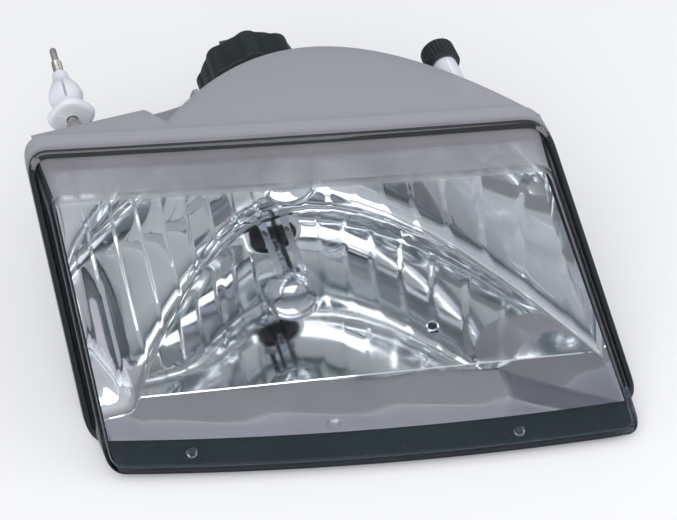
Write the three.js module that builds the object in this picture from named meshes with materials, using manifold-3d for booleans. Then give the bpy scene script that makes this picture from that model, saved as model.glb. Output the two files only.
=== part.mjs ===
// A raked car headlight assembly: grey housing, metallised reflector, clear tray lens,
// dual-filament bulb with its retaining ring, two aiming adjusters and a ball pivot.
// Millimetres. +Z up, -Y is the way the lamp shines, +X is the inboard end.
import * as THREE from "three";
import { mergeVertices } from "three/addons/utils/BufferGeometryUtils.js";
import Module from "manifold-3d";

const wasm = await Module();
wasm.setup();

// ---------- driving dimensions ----------
// The lens frame: a four-sided rim that leans back and is swept round the wing.
const HALF_HEIGHT = 73;
const TOP_LEFT = -155;
const TOP_RIGHT = 142;
const BOTTOM_LEFT = -160;
const BOTTOM_RIGHT = 173;
const LEAN = Math.tan(THREE.MathUtils.degToRad(37.6)); // rearward run per mm of height
const SWEEP = Math.tan(THREE.MathUtils.degToRad(12.9)); // forward run per mm towards +X
const BOW = 8; // how far the lens bulges forward at mid width along its bottom edge
const CORNER_RADIUS = 14;

const FRAME_DEPTH = 12;
const FRAME_WIDTH = 9;
const GROOVE_OUTER = 2.2;
const GROOVE_INNER = 7;
const GROOVE_DEPTH = 8;

const LENS_DEPTH = 32;
const LENS_WALL = 2.4;
const LENS_INSET = 3.2; // the lens foot, inside the groove
const LENS_FOOT = 5; // how far the foot reaches into the groove
const LENS_DRAFT = { left: 4, right: 7, top: 1.5, bottom: 1.5 };

// The reflector is a paraboloid about the bulb axis, cut off by a flat floor and ceiling.
const FOCAL_LENGTH = 36;
const OPENING_X = -40; // where the bowl starts to open out towards the outboard end
const OPENING_RUN = 100;
const OPENING_FOCUS = 24; // focal length gained across over that run
const BULB_X = 2;
const BULB_Z = 1.5;
const VERTEX_Y = 145;
const REFLECTOR_HALF_HEIGHT = 61.9;
const REFLECTOR_WALL = 1.8;
const FLUTE_PITCH = 16.5;
const FLUTE_DEPTH = 0.9;
const BULB_HOLE_RADIUS = 21;

const HOUSING_GAP = 4; // air between the reflector and the housing behind it
const HOUSING_WALL = 2.4;
const ROOF_Z = 68;
const ROOF_CREST_Y = 130;
const ROOF_CREST_X = 10;
const ROOF_FOCUS = 44;
const WING_EDGE_Y = 107;
const WING_INNER_X = -70;
const COLLAR_RADIUS = 25.5;
const COLLAR_BORE = 19;
const COLLAR_END_Y = 176;
const BOSS_END_Y = 70; // rear faces of the inboard adjuster and pivot bosses

const OUTBOARD = { x: -122, z: 55 }; // axis of the sideways aiming screw
const INBOARD = { x: 109.5, z: 50 }; // axis of the height aiming knob
const PIVOT = { x: 113, z: -46 };
const PIVOT_BALL_Y = 80;
const PIVOT_END_Y = 112;
const VENT = { x: -58, z: -34 };
const VENT_RADIUS = 8;
const VENT_END_Y = 144;

const SHIELD_Y = 85;
const SHIELD_RADIUS = 21;
const SHIELD_SHEET = 1.2;
const SHIELD_FOOT_Y = VERTEX_Y - 11;
const SHIELD_FOOT_Z = BULB_Z - 27;
const RIVETS = [BULB_X - 8, BULB_X + 8];
const RIVET_RADIUS = 1.4;

const SCREW_RADIUS = 3.2;
const SCREW_TIP_Y = 188;
const BOSS_FACE_Y = WING_EDGE_Y + 3;
const THREAD_PITCH = 1.5;

const SLEEVE_RADIUS = 7.8;
const SLEEVE_BORE = 4.2;
const SLEEVE_SPIGOT = 6;

const BALL_RADIUS = 4.9;
const PIVOT_SPIGOT = 5;

const GAP = 0.35; // running gap between neighbouring pieces

// ---------- solids ----------
function toSolid(geometry) {
  const bare = geometry.clone();
  for (const name of Object.keys(bare.attributes)) {
    if (name !== "position") bare.deleteAttribute(name);
  }
  const merged = mergeVertices(bare, 1e-3);
  return new wasm.Manifold(
    new wasm.Mesh({
      numProp: 3,
      vertProperties: new Float32Array(merged.attributes.position.array),
      triVerts: new Uint32Array(merged.index.array),
    }),
  );
}

function toGeometry(solid) {
  const mesh = solid.getMesh();
  const geometry = new THREE.BufferGeometry();
  geometry.setAttribute("position", new THREE.BufferAttribute(mesh.vertProperties, 3));
  geometry.setIndex(new THREE.BufferAttribute(mesh.triVerts, 1));
  const flat = geometry.toNonIndexed();
  flat.computeVertexNormals();
  return flat;
}

const join = (...solids) => solids.reduce((all, next) => all.add(next));
const cut = (body, ...tools) => tools.reduce((left, tool) => left.subtract(tool), body);

// A turned piece about a line along Y. The profile is [radius, y] pairs from y low to y high.
function turned(profile, x = BULB_X, z = BULB_Z, segments = 20) {
  const points = profile.map(([radius, y]) => new THREE.Vector2(radius, y));
  const lathe = new THREE.LatheGeometry(points, segments);
  lathe.translate(x, 0, z);
  return toSolid(lathe);
}

function rod(radius, y0, y1, x = BULB_X, z = BULB_Z, segments = 20) {
  return turned([[0, y0], [radius, y0], [radius, y1], [0, y1]], x, z, segments);
}

function tube(outer, inner, y0, y1, x = BULB_X, z = BULB_Z, segments = 20) {
  const profile = [[inner, y0], [outer, y0], [outer, y1], [inner, y1], [inner, y0]];
  return turned(profile, x, z, segments);
}

function block(x0, x1, y0, y1, z0, z1) {
  const box = new THREE.BoxGeometry(x1 - x0, y1 - y0, z1 - z0);
  box.translate((x0 + x1) / 2, (y0 + y1) / 2, (z0 + z1) / 2);
  return toSolid(box);
}

// A prism that stands on the X-Z outline of a shape and runs along Y.
function prismAlongY(shape, y0, y1) {
  const prism = new THREE.ExtrudeGeometry(shape, {
    depth: y1 - y0,
    bevelEnabled: false,
    curveSegments: 4,
  });
  prism.rotateX(Math.PI / 2);
  prism.translate(0, y1, 0);
  return toSolid(prism);
}

// A box grid whose points are placed by a function of (across, through, up), each 0 to 1.
function placedGrid(columns, rows, place) {
  const grid = new THREE.BoxGeometry(1, 1, 1, columns, 1, rows);
  const points = grid.attributes.position;
  for (let i = 0; i < points.count; i += 1) {
    const [x, y, z] = place(points.getX(i) + 0.5, points.getY(i) + 0.5, points.getZ(i) + 0.5);
    points.setXYZ(i, x, y, z);
  }
  return toSolid(grid);
}

function wireAlong(points, radius, steps) {
  const path = new THREE.CatmullRomCurve3(points.map((p) => new THREE.Vector3(...p)));
  const section = new THREE.Shape();
  section.absarc(0, 0, radius, 0, Math.PI * 2);
  const wire = new THREE.ExtrudeGeometry(section, {
    extrudePath: path,
    steps,
    curveSegments: 3,
    bevelEnabled: false,
  });
  return toSolid(wire);
}

// ---------- the raked lens frame ----------
const { lerp } = THREE.MathUtils;
const heightShare = (z) => (z + HALF_HEIGHT) / (2 * HALF_HEIGHT);
const leftEdge = (z) => lerp(BOTTOM_LEFT, TOP_LEFT, heightShare(z));
const rightEdge = (z) => lerp(BOTTOM_RIGHT, TOP_RIGHT, heightShare(z));

function rakeY(x, z) {
  const fullness = lerp(1, 0.2, heightShare(z));
  const crown = BOW * fullness * (1 - (x / 165) ** 2);
  return LEAN * z - SWEEP * x - crown;
}

// The frame outline, moved in by an inset, with rounded corners.
function frameShape(inset) {
  const radius = Math.max(CORNER_RADIUS - inset, 3);
  const low = -HALF_HEIGHT + inset;
  const high = HALF_HEIGHT - inset;
  const corners = [
    new THREE.Vector2(leftEdge(low) + inset, low),
    new THREE.Vector2(rightEdge(low) - inset, low),
    new THREE.Vector2(rightEdge(high) - inset, high),
    new THREE.Vector2(leftEdge(high) + inset, high),
  ];
  const shape = new THREE.Shape();
  corners.forEach((corner, i) => {
    const before = corners[(i + 3) % 4].clone().sub(corner).setLength(radius).add(corner);
    const after = corners[(i + 1) % 4].clone().sub(corner).setLength(radius).add(corner);
    if (i === 0) shape.moveTo(before.x, before.y);
    else shape.lineTo(before.x, before.y);
    shape.quadraticCurveTo(corner.x, corner.y, after.x, after.y);
  });
  return shape;
}

const framePrism = (inset) => prismAlongY(frameShape(inset), -200, 200);

// Everything between two depths behind the rim's front face.
function rakedSlab(front, back) {
  return placedGrid(10, 3, (across, through, up) => {
    const x = lerp(-190, 190, across);
    const z = lerp(-90, 90, up);
    return [x, rakeY(x, z) + lerp(front, back, through), z];
  });
}

function frameRing(outerInset, innerInset, front, back) {
  return rakedSlab(front, back).intersect(framePrism(outerInset)).subtract(framePrism(innerInset));
}

// ---------- the reflector's surface ----------
// Outboard of the bulb the bowl opens out across, most of all above its floor.
function focusAcross(x, z) {
  const outboard = THREE.MathUtils.clamp((OPENING_X - x) / OPENING_RUN, 0, 1);
  const above = THREE.MathUtils.clamp(1 + z / REFLECTOR_HALF_HEIGHT, 0, 1);
  return FOCAL_LENGTH + OPENING_FOCUS * outboard * above;
}

function bowlY(x, z) {
  const across = (x - BULB_X) ** 2 / (4 * focusAcross(x, z));
  return VERTEX_Y - across - (z - BULB_Z) ** 2 / (4 * FOCAL_LENGTH);
}

// Behind the outboard end the bowl gives way to a flat wall that leans with the lens.
const wingWallY = (z) => 46 + LEAN * z;

function reflectorY(x, z) {
  const endWall = x < BULB_X ? wingWallY(z) : rakeY(x, z) + 8;
  return Math.max(bowlY(x, z), endWall, rakeY(x, z) + 8);
}

function flutedY(x, z) {
  const phase = (x - BULB_X) / FLUTE_PITCH - Math.floor((x - BULB_X) / FLUTE_PITCH);
  return reflectorY(x, z) - FLUTE_DEPTH * Math.sin(Math.PI * phase);
}

// The reflector's front edge: at the rim along the ceiling, well into the lens along the floor.
const reflectorFrontY = (x, z) => rakeY(x, z) + lerp(-15, 2, heightShare(z));

// A box-like pocket open to the front, between two side insets.
function pocket(columns, rows, sideInset, halfHeight, frontY, backY) {
  return placedGrid(columns, rows, (across, through, up) => {
    const z = lerp(-halfHeight, halfHeight, up);
    const x = lerp(leftEdge(z) + sideInset, rightEdge(z) - sideInset, across);
    const y = through < 0.5 ? frontY(x, z) : backY(x, z);
    return [x, y, z];
  });
}

// ---------- pieces ----------
const grey = { color: 0x9a99a3, roughness: 0.6, metalness: 0 };
const mirror = { color: 0xc9cbd2, roughness: 0.06, metalness: 1 };
const clear = { color: 0xdfe7ec, roughness: 0.05, metalness: 0, transparent: true, opacity: 0.25 };
const black = { color: 0x0b1012, roughness: 0.4, metalness: 0 };
const rubber = { color: 0x121314, roughness: 0.85, metalness: 0 };
const nylon = { color: 0xeceef4, roughness: 0.45, metalness: 0 };
const steel = { color: 0x8b8a86, roughness: 0.35, metalness: 1 };
const glass = { color: 0xf2f6f8, roughness: 0.02, metalness: 0, transparent: true, opacity: 0.3 };
const tungsten = { color: 0x6d6a66, roughness: 0.5, metalness: 1 };
const brass = { color: 0xb49a5a, roughness: 0.35, metalness: 1 };

const lamp = new THREE.Group();
lamp.position.set(-PIVOT.x, -PIVOT_END_Y, -PIVOT.z); // origin at the end of the pivot stud

function addPiece(name, solid, look) {
  const piece = new THREE.Mesh(toGeometry(solid), new THREE.MeshStandardMaterial(look));
  piece.name = name;
  lamp.add(piece);
}

const roofEdgeY = (x) => ROOF_CREST_Y - (x - ROOF_CREST_X) ** 2 / (4 * ROOF_FOCUS);

// The flat roof: an arch over the bowl, and a straight-edged wing at the outboard end.
function roofPlate() {
  const z0 = ROOF_Z - HOUSING_WALL;
  const left = leftEdge(z0) + FRAME_WIDTH;
  const right = rightEdge(z0) - 2;
  const outline = [[left, WING_EDGE_Y], [WING_INNER_X - 10, WING_EDGE_Y]];
  outline.push([WING_INNER_X, roofEdgeY(WING_INNER_X)]);
  const steps = 16;
  for (let i = 1; i <= steps; i += 1) {
    const x = lerp(WING_INNER_X, right, i / steps);
    outline.push([x, roofEdgeY(x)]);
  }
  for (let i = 0; i <= steps; i += 1) {
    const x = lerp(right, left, i / steps);
    outline.push([x, rakeY(x, z0) + FRAME_DEPTH / 2]);
  }
  const shape = new THREE.Shape(outline.map(([x, y]) => new THREE.Vector2(x, y)));
  const plate = new THREE.ExtrudeGeometry(shape, { depth: HOUSING_WALL, bevelEnabled: false });
  plate.translate(0, 0, z0);
  return toSolid(plate);
}

// Upright stiffening ribs across the back of the bowl.
function backRibs() {
  const ribs = [];
  for (const x of [-48, 52]) {
    const shape = new THREE.Shape();
    const reach = ROOF_Z - 1;
    shape.moveTo(bowlY(x, -reach) - 10, -reach);
    shape.lineTo(bowlY(x, reach) - 10, reach);
    const steps = 10;
    for (let i = 0; i <= steps; i += 1) {
      const z = lerp(reach, -reach, i / steps);
      shape.lineTo(bowlY(x, z) + HOUSING_GAP + HOUSING_WALL + 9, z);
    }
    const rib = new THREE.ExtrudeGeometry(shape, { depth: 2.4, bevelEnabled: false });
    rib.rotateX(Math.PI / 2);
    rib.rotateZ(Math.PI / 2);
    rib.translate(x, 0, 0);
    ribs.push(toSolid(rib));
  }
  return ribs;
}

function boss(place, outer, y0, y1) {
  return rod(outer, y0, y1, place.x, place.z, 16);
}

function housing() {
  const innerBack = (x, z) => reflectorY(x, z) + REFLECTOR_WALL + HOUSING_GAP;
  const outerBack = (x, z) => innerBack(x, z) + HOUSING_WALL;
  const front = (x, z) => rakeY(x, z) + FRAME_DEPTH - 4;
  const rim = frameRing(0, FRAME_WIDTH, 0, FRAME_DEPTH);
  const groove = frameRing(GROOVE_OUTER, GROOVE_INNER, -1, GROOVE_DEPTH);
  const openFront = (x, z) => rakeY(x, z) - 20;
  const shell = pocket(24, 6, FRAME_WIDTH - HOUSING_WALL, ROOF_Z, front, outerBack);
  const hollow = pocket(24, 6, FRAME_WIDTH, ROOF_Z - HOUSING_WALL, openFront, innerBack);
  const collar = rod(COLLAR_RADIUS, VERTEX_Y - 6, COLLAR_END_Y, BULB_X, BULB_Z, 32);
  const wingPost = block(-136, -108, 78, WING_EDGE_Y - 4, 40, ROOF_Z - 1);
  let body = join(
    shell,
    roofPlate(),
    collar,
    wingPost,
    ...backRibs(),
    boss(OUTBOARD, 9, 84, BOSS_FACE_Y),
    boss(INBOARD, 11, 30, BOSS_END_Y),
    boss(PIVOT, 11, 20, BOSS_END_Y),
    rod(VENT_RADIUS, 95, VENT_END_Y, VENT.x, VENT.z),
  );
  body = cut(body, hollow);
  body = join(body, rim);
  return cut(
    body,
    groove,
    rod(COLLAR_BORE, VERTEX_Y - 30, COLLAR_END_Y + 1, BULB_X, BULB_Z, 32),
    rod(COLLAR_BORE + 1.3, COLLAR_END_Y - 6, COLLAR_END_Y + 1, BULB_X, BULB_Z, 32),
    rod(SCREW_RADIUS + 0.6, 82, BOSS_FACE_Y + 1, OUTBOARD.x, OUTBOARD.z, 20),
    rod(SLEEVE_SPIGOT + 0.4, BOSS_END_Y - 9, BOSS_END_Y + 1, INBOARD.x, INBOARD.z, 20),
    rod(PIVOT_SPIGOT + 0.4, BOSS_END_Y - 9, BOSS_END_Y + 1, PIVOT.x, PIVOT.z, 20),
    rod(VENT_RADIUS - 3, 80, VENT_END_Y + 1, VENT.x, VENT.z, 16),
  );
}

function reflector() {
  const sideInset = FRAME_WIDTH + 0.6;
  const outer = pocket(
    24,
    6,
    sideInset,
    REFLECTOR_HALF_HEIGHT + REFLECTOR_WALL,
    reflectorFrontY,
    (x, z) => reflectorY(x, z) + REFLECTOR_WALL,
  );
  const inner = pocket(
    54,
    6,
    sideInset + REFLECTOR_WALL,
    REFLECTOR_HALF_HEIGHT,
    (x, z) => reflectorFrontY(x, z) - 4,
    flutedY,
  );
  const neck = rod(BULB_HOLE_RADIUS, VERTEX_Y - 9, VERTEX_Y + 1, BULB_X, BULB_Z, 32);
  const eye = rod(BULB_HOLE_RADIUS - 2.2, VERTEX_Y - 20, VERTEX_Y + 3, BULB_X, BULB_Z, 32);
  const shell = cut(outer.intersect(framePrism(sideInset)), inner);
  const rivetHoles = RIVETS.map((x) => rod(RIVET_RADIUS + GAP, 120, VERTEX_Y + 3, x, SHIELD_FOOT_Z, 12));
  return cut(join(shell, neck), eye, ...rivetHoles);
}

// The rounded frame outline as a prism that is drawn in towards the lens face.
function drawnPrism(inset) {
  const reach = 20; // past both ends of the lens, so that only the sides cut
  const front = -LENS_DEPTH - reach;
  const back = LENS_FOOT + reach;
  const prism = new THREE.ExtrudeGeometry(frameShape(inset), {
    depth: 1,
    bevelEnabled: false,
    curveSegments: 6,
  });
  const drawnAt = (depth) => (LENS_FOOT - depth) / (LENS_FOOT + LENS_DEPTH);
  const points = prism.attributes.position;
  for (let i = 0; i < points.count; i += 1) {
    const x = points.getX(i);
    const z = points.getY(i);
    const depth = points.getZ(i) < 0.5 ? back : front;
    const drawn = drawnAt(depth);
    const side = THREE.MathUtils.clamp((x - leftEdge(z)) / (rightEdge(z) - leftEdge(z)), 0, 1);
    const up = heightShare(z);
    const movedX = x + drawn * lerp(LENS_DRAFT.left, -LENS_DRAFT.right, side);
    const movedZ = z + drawn * lerp(LENS_DRAFT.bottom, -LENS_DRAFT.top, up);
    points.setXYZ(i, movedX, rakeY(x, z) + depth, movedZ);
  }
  return toSolid(prism);
}

const lensTray = (inset, front, back) => rakedSlab(front, back).intersect(drawnPrism(inset));

// The three aiming pads that stand proud of the lens face.
function aimingNibs() {
  const places = [[2, 40], [-103, -56], [88, -57]];
  return places.map(([x, z]) => {
    const faceY = rakeY(x, z) - LENS_DEPTH;
    return turned([[0, faceY - 3], [2.2, faceY - 3], [3.6, faceY + 1.5], [0, faceY + 1.5]], x, z, 16);
  });
}

function lens() {
  const outer = lensTray(LENS_INSET, -LENS_DEPTH, LENS_FOOT);
  const hollow = lensTray(LENS_INSET + LENS_WALL, -LENS_DEPTH + LENS_WALL, LENS_FOOT + 1);
  return join(cut(outer, hollow), ...aimingNibs());
}

const lensSeal = () => frameRing(GROOVE_OUTER + 0.5, GROOVE_INNER - 0.5, LENS_FOOT + 0.8, GROOVE_DEPTH - 0.3);

// A dark trim strip that lies along the lens's bottom wall, in front of the reflector's floor.
function lowerBezel() {
  const floor = -HALF_HEIGHT + LENS_INSET + LENS_WALL + LENS_DRAFT.bottom + 0.4;
  const strip = placedGrid(10, 1, (across, through, up) => {
    const z = lerp(floor, floor + 1.5, up);
    const x = lerp(leftEdge(z) + LENS_INSET, rightEdge(z) - LENS_INSET, across);
    return [x, rakeY(x, z) + lerp(-LENS_DEPTH + LENS_WALL + 1, -2, through), z];
  });
  return strip.intersect(drawnPrism(LENS_INSET + LENS_WALL + 0.6));
}

// A bright cup in front of the bulb, on two flat legs that reach back to the reflector.
function glareShield() {
  const domeDepth = 15;
  const steps = 6;
  const outside = [];
  const inside = [];
  for (let i = 0; i <= steps; i += 1) {
    const turn = (i / steps) * (Math.PI / 2);
    const innerRadius = SHIELD_RADIUS - SHIELD_SHEET;
    outside.push([SHIELD_RADIUS * Math.sin(turn), SHIELD_Y - domeDepth * Math.cos(turn)]);
    inside.push([innerRadius * Math.sin(turn), SHIELD_Y - (domeDepth - SHIELD_SHEET) * Math.cos(turn)]);
  }
  const rimY = SHIELD_Y + 9;
  const rim = [[SHIELD_RADIUS, rimY], [SHIELD_RADIUS - SHIELD_SHEET, rimY]];
  const cup = turned([...outside, ...rim, ...inside.reverse()], BULB_X, BULB_Z, 28);
  const legTop = BULB_Z - SHIELD_RADIUS + 2.4;
  const legs = RIVETS.map((x) =>
    block(x - 2.5, x + 2.5, SHIELD_Y + 2, SHIELD_FOOT_Y + SHIELD_SHEET, legTop - 1.6, legTop),
  );
  const foot = block(
    BULB_X - 12,
    BULB_X + 12,
    SHIELD_FOOT_Y,
    SHIELD_FOOT_Y + SHIELD_SHEET,
    SHIELD_FOOT_Z - 4,
    legTop,
  );
  const holes = RIVETS.map((x) =>
    rod(RIVET_RADIUS + GAP, SHIELD_FOOT_Y - 1, SHIELD_FOOT_Y + 3, x, SHIELD_FOOT_Z, 12),
  );
  return cut(join(cup, ...legs, foot), ...holes);
}

// A dome-headed rivet through the shield's foot and the reflector.
function shieldRivet(x) {
  const headY = SHIELD_FOOT_Y - GAP;
  const tailY = reflectorY(x, SHIELD_FOOT_Z) + REFLECTOR_WALL + GAP;
  const profile = [
    [0, headY - 1.6],
    [1.8, headY - 1.2],
    [3, headY],
    [RIVET_RADIUS, headY],
    [RIVET_RADIUS, tailY],
    [2.4, tailY],
    [2.1, tailY + 1],
    [0, tailY + 1.2],
  ];
  return turned(profile, x, SHIELD_FOOT_Z, 12);
}

// ---------- the bulb ----------
const GLASS_RADIUS = 6;
const GLASS_TIP_Y = 101;
const BASE_FRONT_Y = 146;
const FILAMENT_Y = VERTEX_Y - FOCAL_LENGTH;

// The moulded base: a nose that fills the reflector's eye, a seat flange, and a plug shell.
function bulbBase() {
  const noseRadius = BULB_HOLE_RADIUS - 4;
  const seatY = COLLAR_END_Y + 1.6;
  const core = turned([
    [0, BASE_FRONT_Y],
    [8, BASE_FRONT_Y],
    [9.5, BASE_FRONT_Y + 3],
    [noseRadius, BASE_FRONT_Y + 8],
    [noseRadius, seatY - 9],
    [noseRadius - 2.2, seatY - 9],
    [noseRadius - 2.2, seatY - 5],
    [noseRadius + 2.6, seatY - 5],
    [noseRadius + 2.6, seatY],
    [COLLAR_RADIUS - 0.5, seatY],
    [COLLAR_RADIUS - 0.5, seatY + 3],
    [13, seatY + 4],
    [12, seatY + 16],
    [0, seatY + 16],
  ]);
  const plug = block(BULB_X - 13, BULB_X + 13, seatY + 9, seatY + 32, BULB_Z - 8.5, BULB_Z + 8.5);
  const mouth = block(BULB_X - 11, BULB_X + 11, seatY + 17, seatY + 33, BULB_Z - 6.5, BULB_Z + 6.5);
  const latch = block(BULB_X - 4, BULB_X + 4, seatY + 14, seatY + 30, BULB_Z + 8, BULB_Z + 10.5);
  const glassSocket = rod(GLASS_RADIUS + GAP, BASE_FRONT_Y - 1, BASE_FRONT_Y + 7, BULB_X, BULB_Z, 28);
  const slots = TERMINAL_X.map((x) =>
    block(x - 2.2, x + 2.2, seatY + 15, seatY + 18, BULB_Z - 0.75, BULB_Z + 0.75),
  );
  return cut(join(core, plug, latch), mouth, glassSocket, ...slots);
}

const TERMINAL_X = [BULB_X - 7, BULB_X, BULB_X + 7];

function terminal(x) {
  const rootY = COLLAR_END_Y + 1.6 + 15 + GAP;
  return block(x - 1.8, x + 1.8, rootY, rootY + 12, BULB_Z - 0.4, BULB_Z + 0.4);
}

function bulbGlass() {
  const seat = BASE_FRONT_Y + 6.5;
  const wall = 0.9;
  const tip = [];
  const tipInside = [];
  const steps = 5;
  for (let i = 0; i <= steps; i += 1) {
    const turn = (i / steps) * (Math.PI / 2);
    tip.push([GLASS_RADIUS * Math.sin(turn), GLASS_TIP_Y + GLASS_RADIUS * (1 - Math.cos(turn))]);
    const innerRadius = GLASS_RADIUS - wall;
    tipInside.push([innerRadius * Math.sin(turn), GLASS_TIP_Y + GLASS_RADIUS - innerRadius * Math.cos(turn)]);
  }
  const foot = [[GLASS_RADIUS, seat], [GLASS_RADIUS - wall, seat]];
  return turned([...tip, ...foot, ...tipInside.reverse()], BULB_X, BULB_Z, 16);
}

// A coiled filament that lies across the lamp, simplified to a ribbed bar.
function filament(y, z) {
  const radius = 0.9;
  const halfLength = 2.6;
  const profile = [[0, -halfLength]];
  const ribs = 4;
  for (let i = 0; i < ribs; i += 1) {
    const start = lerp(-halfLength, halfLength, i / ribs);
    profile.push([radius, start], [radius - 0.25, start + halfLength / ribs]);
  }
  profile.push([radius, halfLength], [0, halfLength]);
  const points = profile.map(([r, along]) => new THREE.Vector2(r, along));
  const coil = new THREE.LatheGeometry(points, 8);
  coil.rotateZ(Math.PI / 2);
  coil.translate(BULB_X, y, z);
  return toSolid(coil);
}

// The glass press and the wires that hold the filaments.
function filamentSupports() {
  const reach = 3.6;
  const press = block(
    BULB_X - reach,
    BULB_X + reach,
    BASE_FRONT_Y - 8,
    BASE_FRONT_Y + 4,
    BULB_Z - 1.2,
    BULB_Z + 1.2,
  );
  const wires = [
    [-reach, FILAMENT_Y - 1, 2.2],
    [reach, FILAMENT_Y - 1, 2.2],
    [-reach, FILAMENT_Y + 8, -2.2],
    [reach, FILAMENT_Y + 8, -2.2],
  ].map(([dx, tipY, dz]) =>
    wireAlong(
      [
        [BULB_X + dx * 0.5, BASE_FRONT_Y - 6, BULB_Z + dz * 0.2],
        [BULB_X + dx * 0.9, BASE_FRONT_Y - 14, BULB_Z + dz],
        [BULB_X + dx, tipY + 6, BULB_Z + dz],
        [BULB_X + dx, tipY, BULB_Z + dz],
      ],
      0.4,
      5,
    ),
  );
  return join(press, ...wires);
}

function bulbSealRing() {
  const seatY = COLLAR_END_Y + 1.6;
  const ringRadius = 1.7;
  const centre = BULB_HOLE_RADIUS - 4 - 0.1;
  const points = [];
  const sides = 8;
  for (let i = 0; i <= sides; i += 1) {
    const turn = (i / sides) * Math.PI * 2;
    points.push([centre + ringRadius * Math.cos(turn), seatY - 7 + ringRadius * Math.sin(turn)]);
  }
  points[sides] = points[0];
  return turned(points, BULB_X, BULB_Z, 24);
}

const RING_OUTER = 33.5;

// The retaining ring: a skirt over the housing's collar, a lip over the bulb's flange, finger lobes.
function retainingRing() {
  const skirtInner = COLLAR_RADIUS + 2.2;
  const front = COLLAR_END_Y - 12;
  const lipY = COLLAR_END_Y + 6.2;
  const back = lipY + 6;
  const band = tube(RING_OUTER - 1.5, skirtInner, front, back, BULB_X, BULB_Z, 32);
  const lip = tube(RING_OUTER - 2, COLLAR_RADIUS - 8, lipY, back, BULB_X, BULB_Z, 32);
  const lobes = [];
  const lobeCount = 8;
  for (let i = 0; i < lobeCount; i += 1) {
    const turn = (i / lobeCount) * Math.PI * 2;
    const x = BULB_X + (RING_OUTER - 4) * Math.cos(turn);
    const z = BULB_Z + (RING_OUTER - 4) * Math.sin(turn);
    lobes.push(rod(6, front + 2, back, x, z, 14));
  }
  const bore = rod(skirtInner, front - 1, lipY, BULB_X, BULB_Z, 32);
  const eye = rod(COLLAR_RADIUS - 8, lipY - 1, back + 1, BULB_X, BULB_Z, 32);
  return cut(join(band, lip, ...lobes), bore, eye);
}

// ---------- the outboard adjuster: a screw, its washer and a nylon nut ----------
function hexPrism(acrossFlats, y0, y1, place) {
  return rod(acrossFlats / Math.sqrt(3), y0, y1, place.x, place.z, 6);
}

function outboardScrew() {
  const profile = [
    [0, BOSS_FACE_Y - 14],
    [SCREW_RADIUS, BOSS_FACE_Y - 13],
    [SCREW_RADIUS, BOSS_FACE_Y + 66],
  ];
  const thread = [];
  const turns = 6;
  for (let i = 0; i < turns; i += 1) {
    const y = BOSS_FACE_Y + 52 + i * THREAD_PITCH;
    thread.push([SCREW_RADIUS, y], [SCREW_RADIUS - 0.5, y + THREAD_PITCH / 2]);
  }
  profile.splice(2, 0, ...thread);
  profile.push([2.1, BOSS_FACE_Y + 67], [2.1, SCREW_TIP_Y - 1], [1.4, SCREW_TIP_Y], [0, SCREW_TIP_Y]);
  const shank = turned(profile, OUTBOARD.x, OUTBOARD.z, 12);
  return join(shank, hexPrism(10, BOSS_FACE_Y + 2, BOSS_FACE_Y + 8, OUTBOARD));
}

const outboardWasher = () =>
  tube(8, SCREW_RADIUS + GAP, BOSS_FACE_Y + GAP, BOSS_FACE_Y + 1.6, OUTBOARD.x, OUTBOARD.z, 20);

const NUT_FRONT_Y = BOSS_FACE_Y + 14;

function outboardNut() {
  const bore = SCREW_RADIUS + 0.45;
  const profile = [
    [bore, NUT_FRONT_Y],
    [12.8, NUT_FRONT_Y],
    [14.5, NUT_FRONT_Y + 2],
    [14.5, NUT_FRONT_Y + 4.5],
    [12.5, NUT_FRONT_Y + 7],
    [9.4, NUT_FRONT_Y + 9],
    [8.8, NUT_FRONT_Y + 14],
    [10.6, NUT_FRONT_Y + 19],
    [10, NUT_FRONT_Y + 24],
    [5.4, NUT_FRONT_Y + 34],
    [4.8, NUT_FRONT_Y + 40],
    [bore, NUT_FRONT_Y + 40],
    [bore, NUT_FRONT_Y],
  ];
  const body = turned(profile, OUTBOARD.x, OUTBOARD.z, 20);
  const slits = [0, 1].map((quarter) => {
    const slit = new THREE.BoxGeometry(26, 18, 1.6);
    slit.rotateY((quarter * Math.PI) / 2);
    slit.translate(OUTBOARD.x, NUT_FRONT_Y + 20, OUTBOARD.z);
    return toSolid(slit);
  });
  const core = tube(6.4, bore, NUT_FRONT_Y, NUT_FRONT_Y + 30, OUTBOARD.x, OUTBOARD.z, 20);
  return join(cut(body, ...slits), core);
}

// ---------- the inboard adjuster: sleeve, knob and sliding stud ----------
const KNOB_FRONT_Y = 103;
const KNOB_BACK_Y = 118;
const KNOB_RADIUS = 11;
const STUD_RADIUS = 3;

function inboardSleeve() {
  return turned(
    [
      [SLEEVE_BORE, BOSS_END_Y - 8],
      [SLEEVE_SPIGOT, BOSS_END_Y - 8],
      [SLEEVE_SPIGOT, BOSS_END_Y + GAP],
      [SLEEVE_RADIUS + 1, BOSS_END_Y + GAP],
      [SLEEVE_RADIUS + 1, BOSS_END_Y + 3],
      [SLEEVE_RADIUS, BOSS_END_Y + 4],
      [SLEEVE_RADIUS, KNOB_BACK_Y - 9],
      [SLEEVE_BORE, KNOB_BACK_Y - 9],
      [SLEEVE_BORE, BOSS_END_Y - 8],
    ],
    INBOARD.x,
    INBOARD.z,
    20,
  );
}

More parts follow.
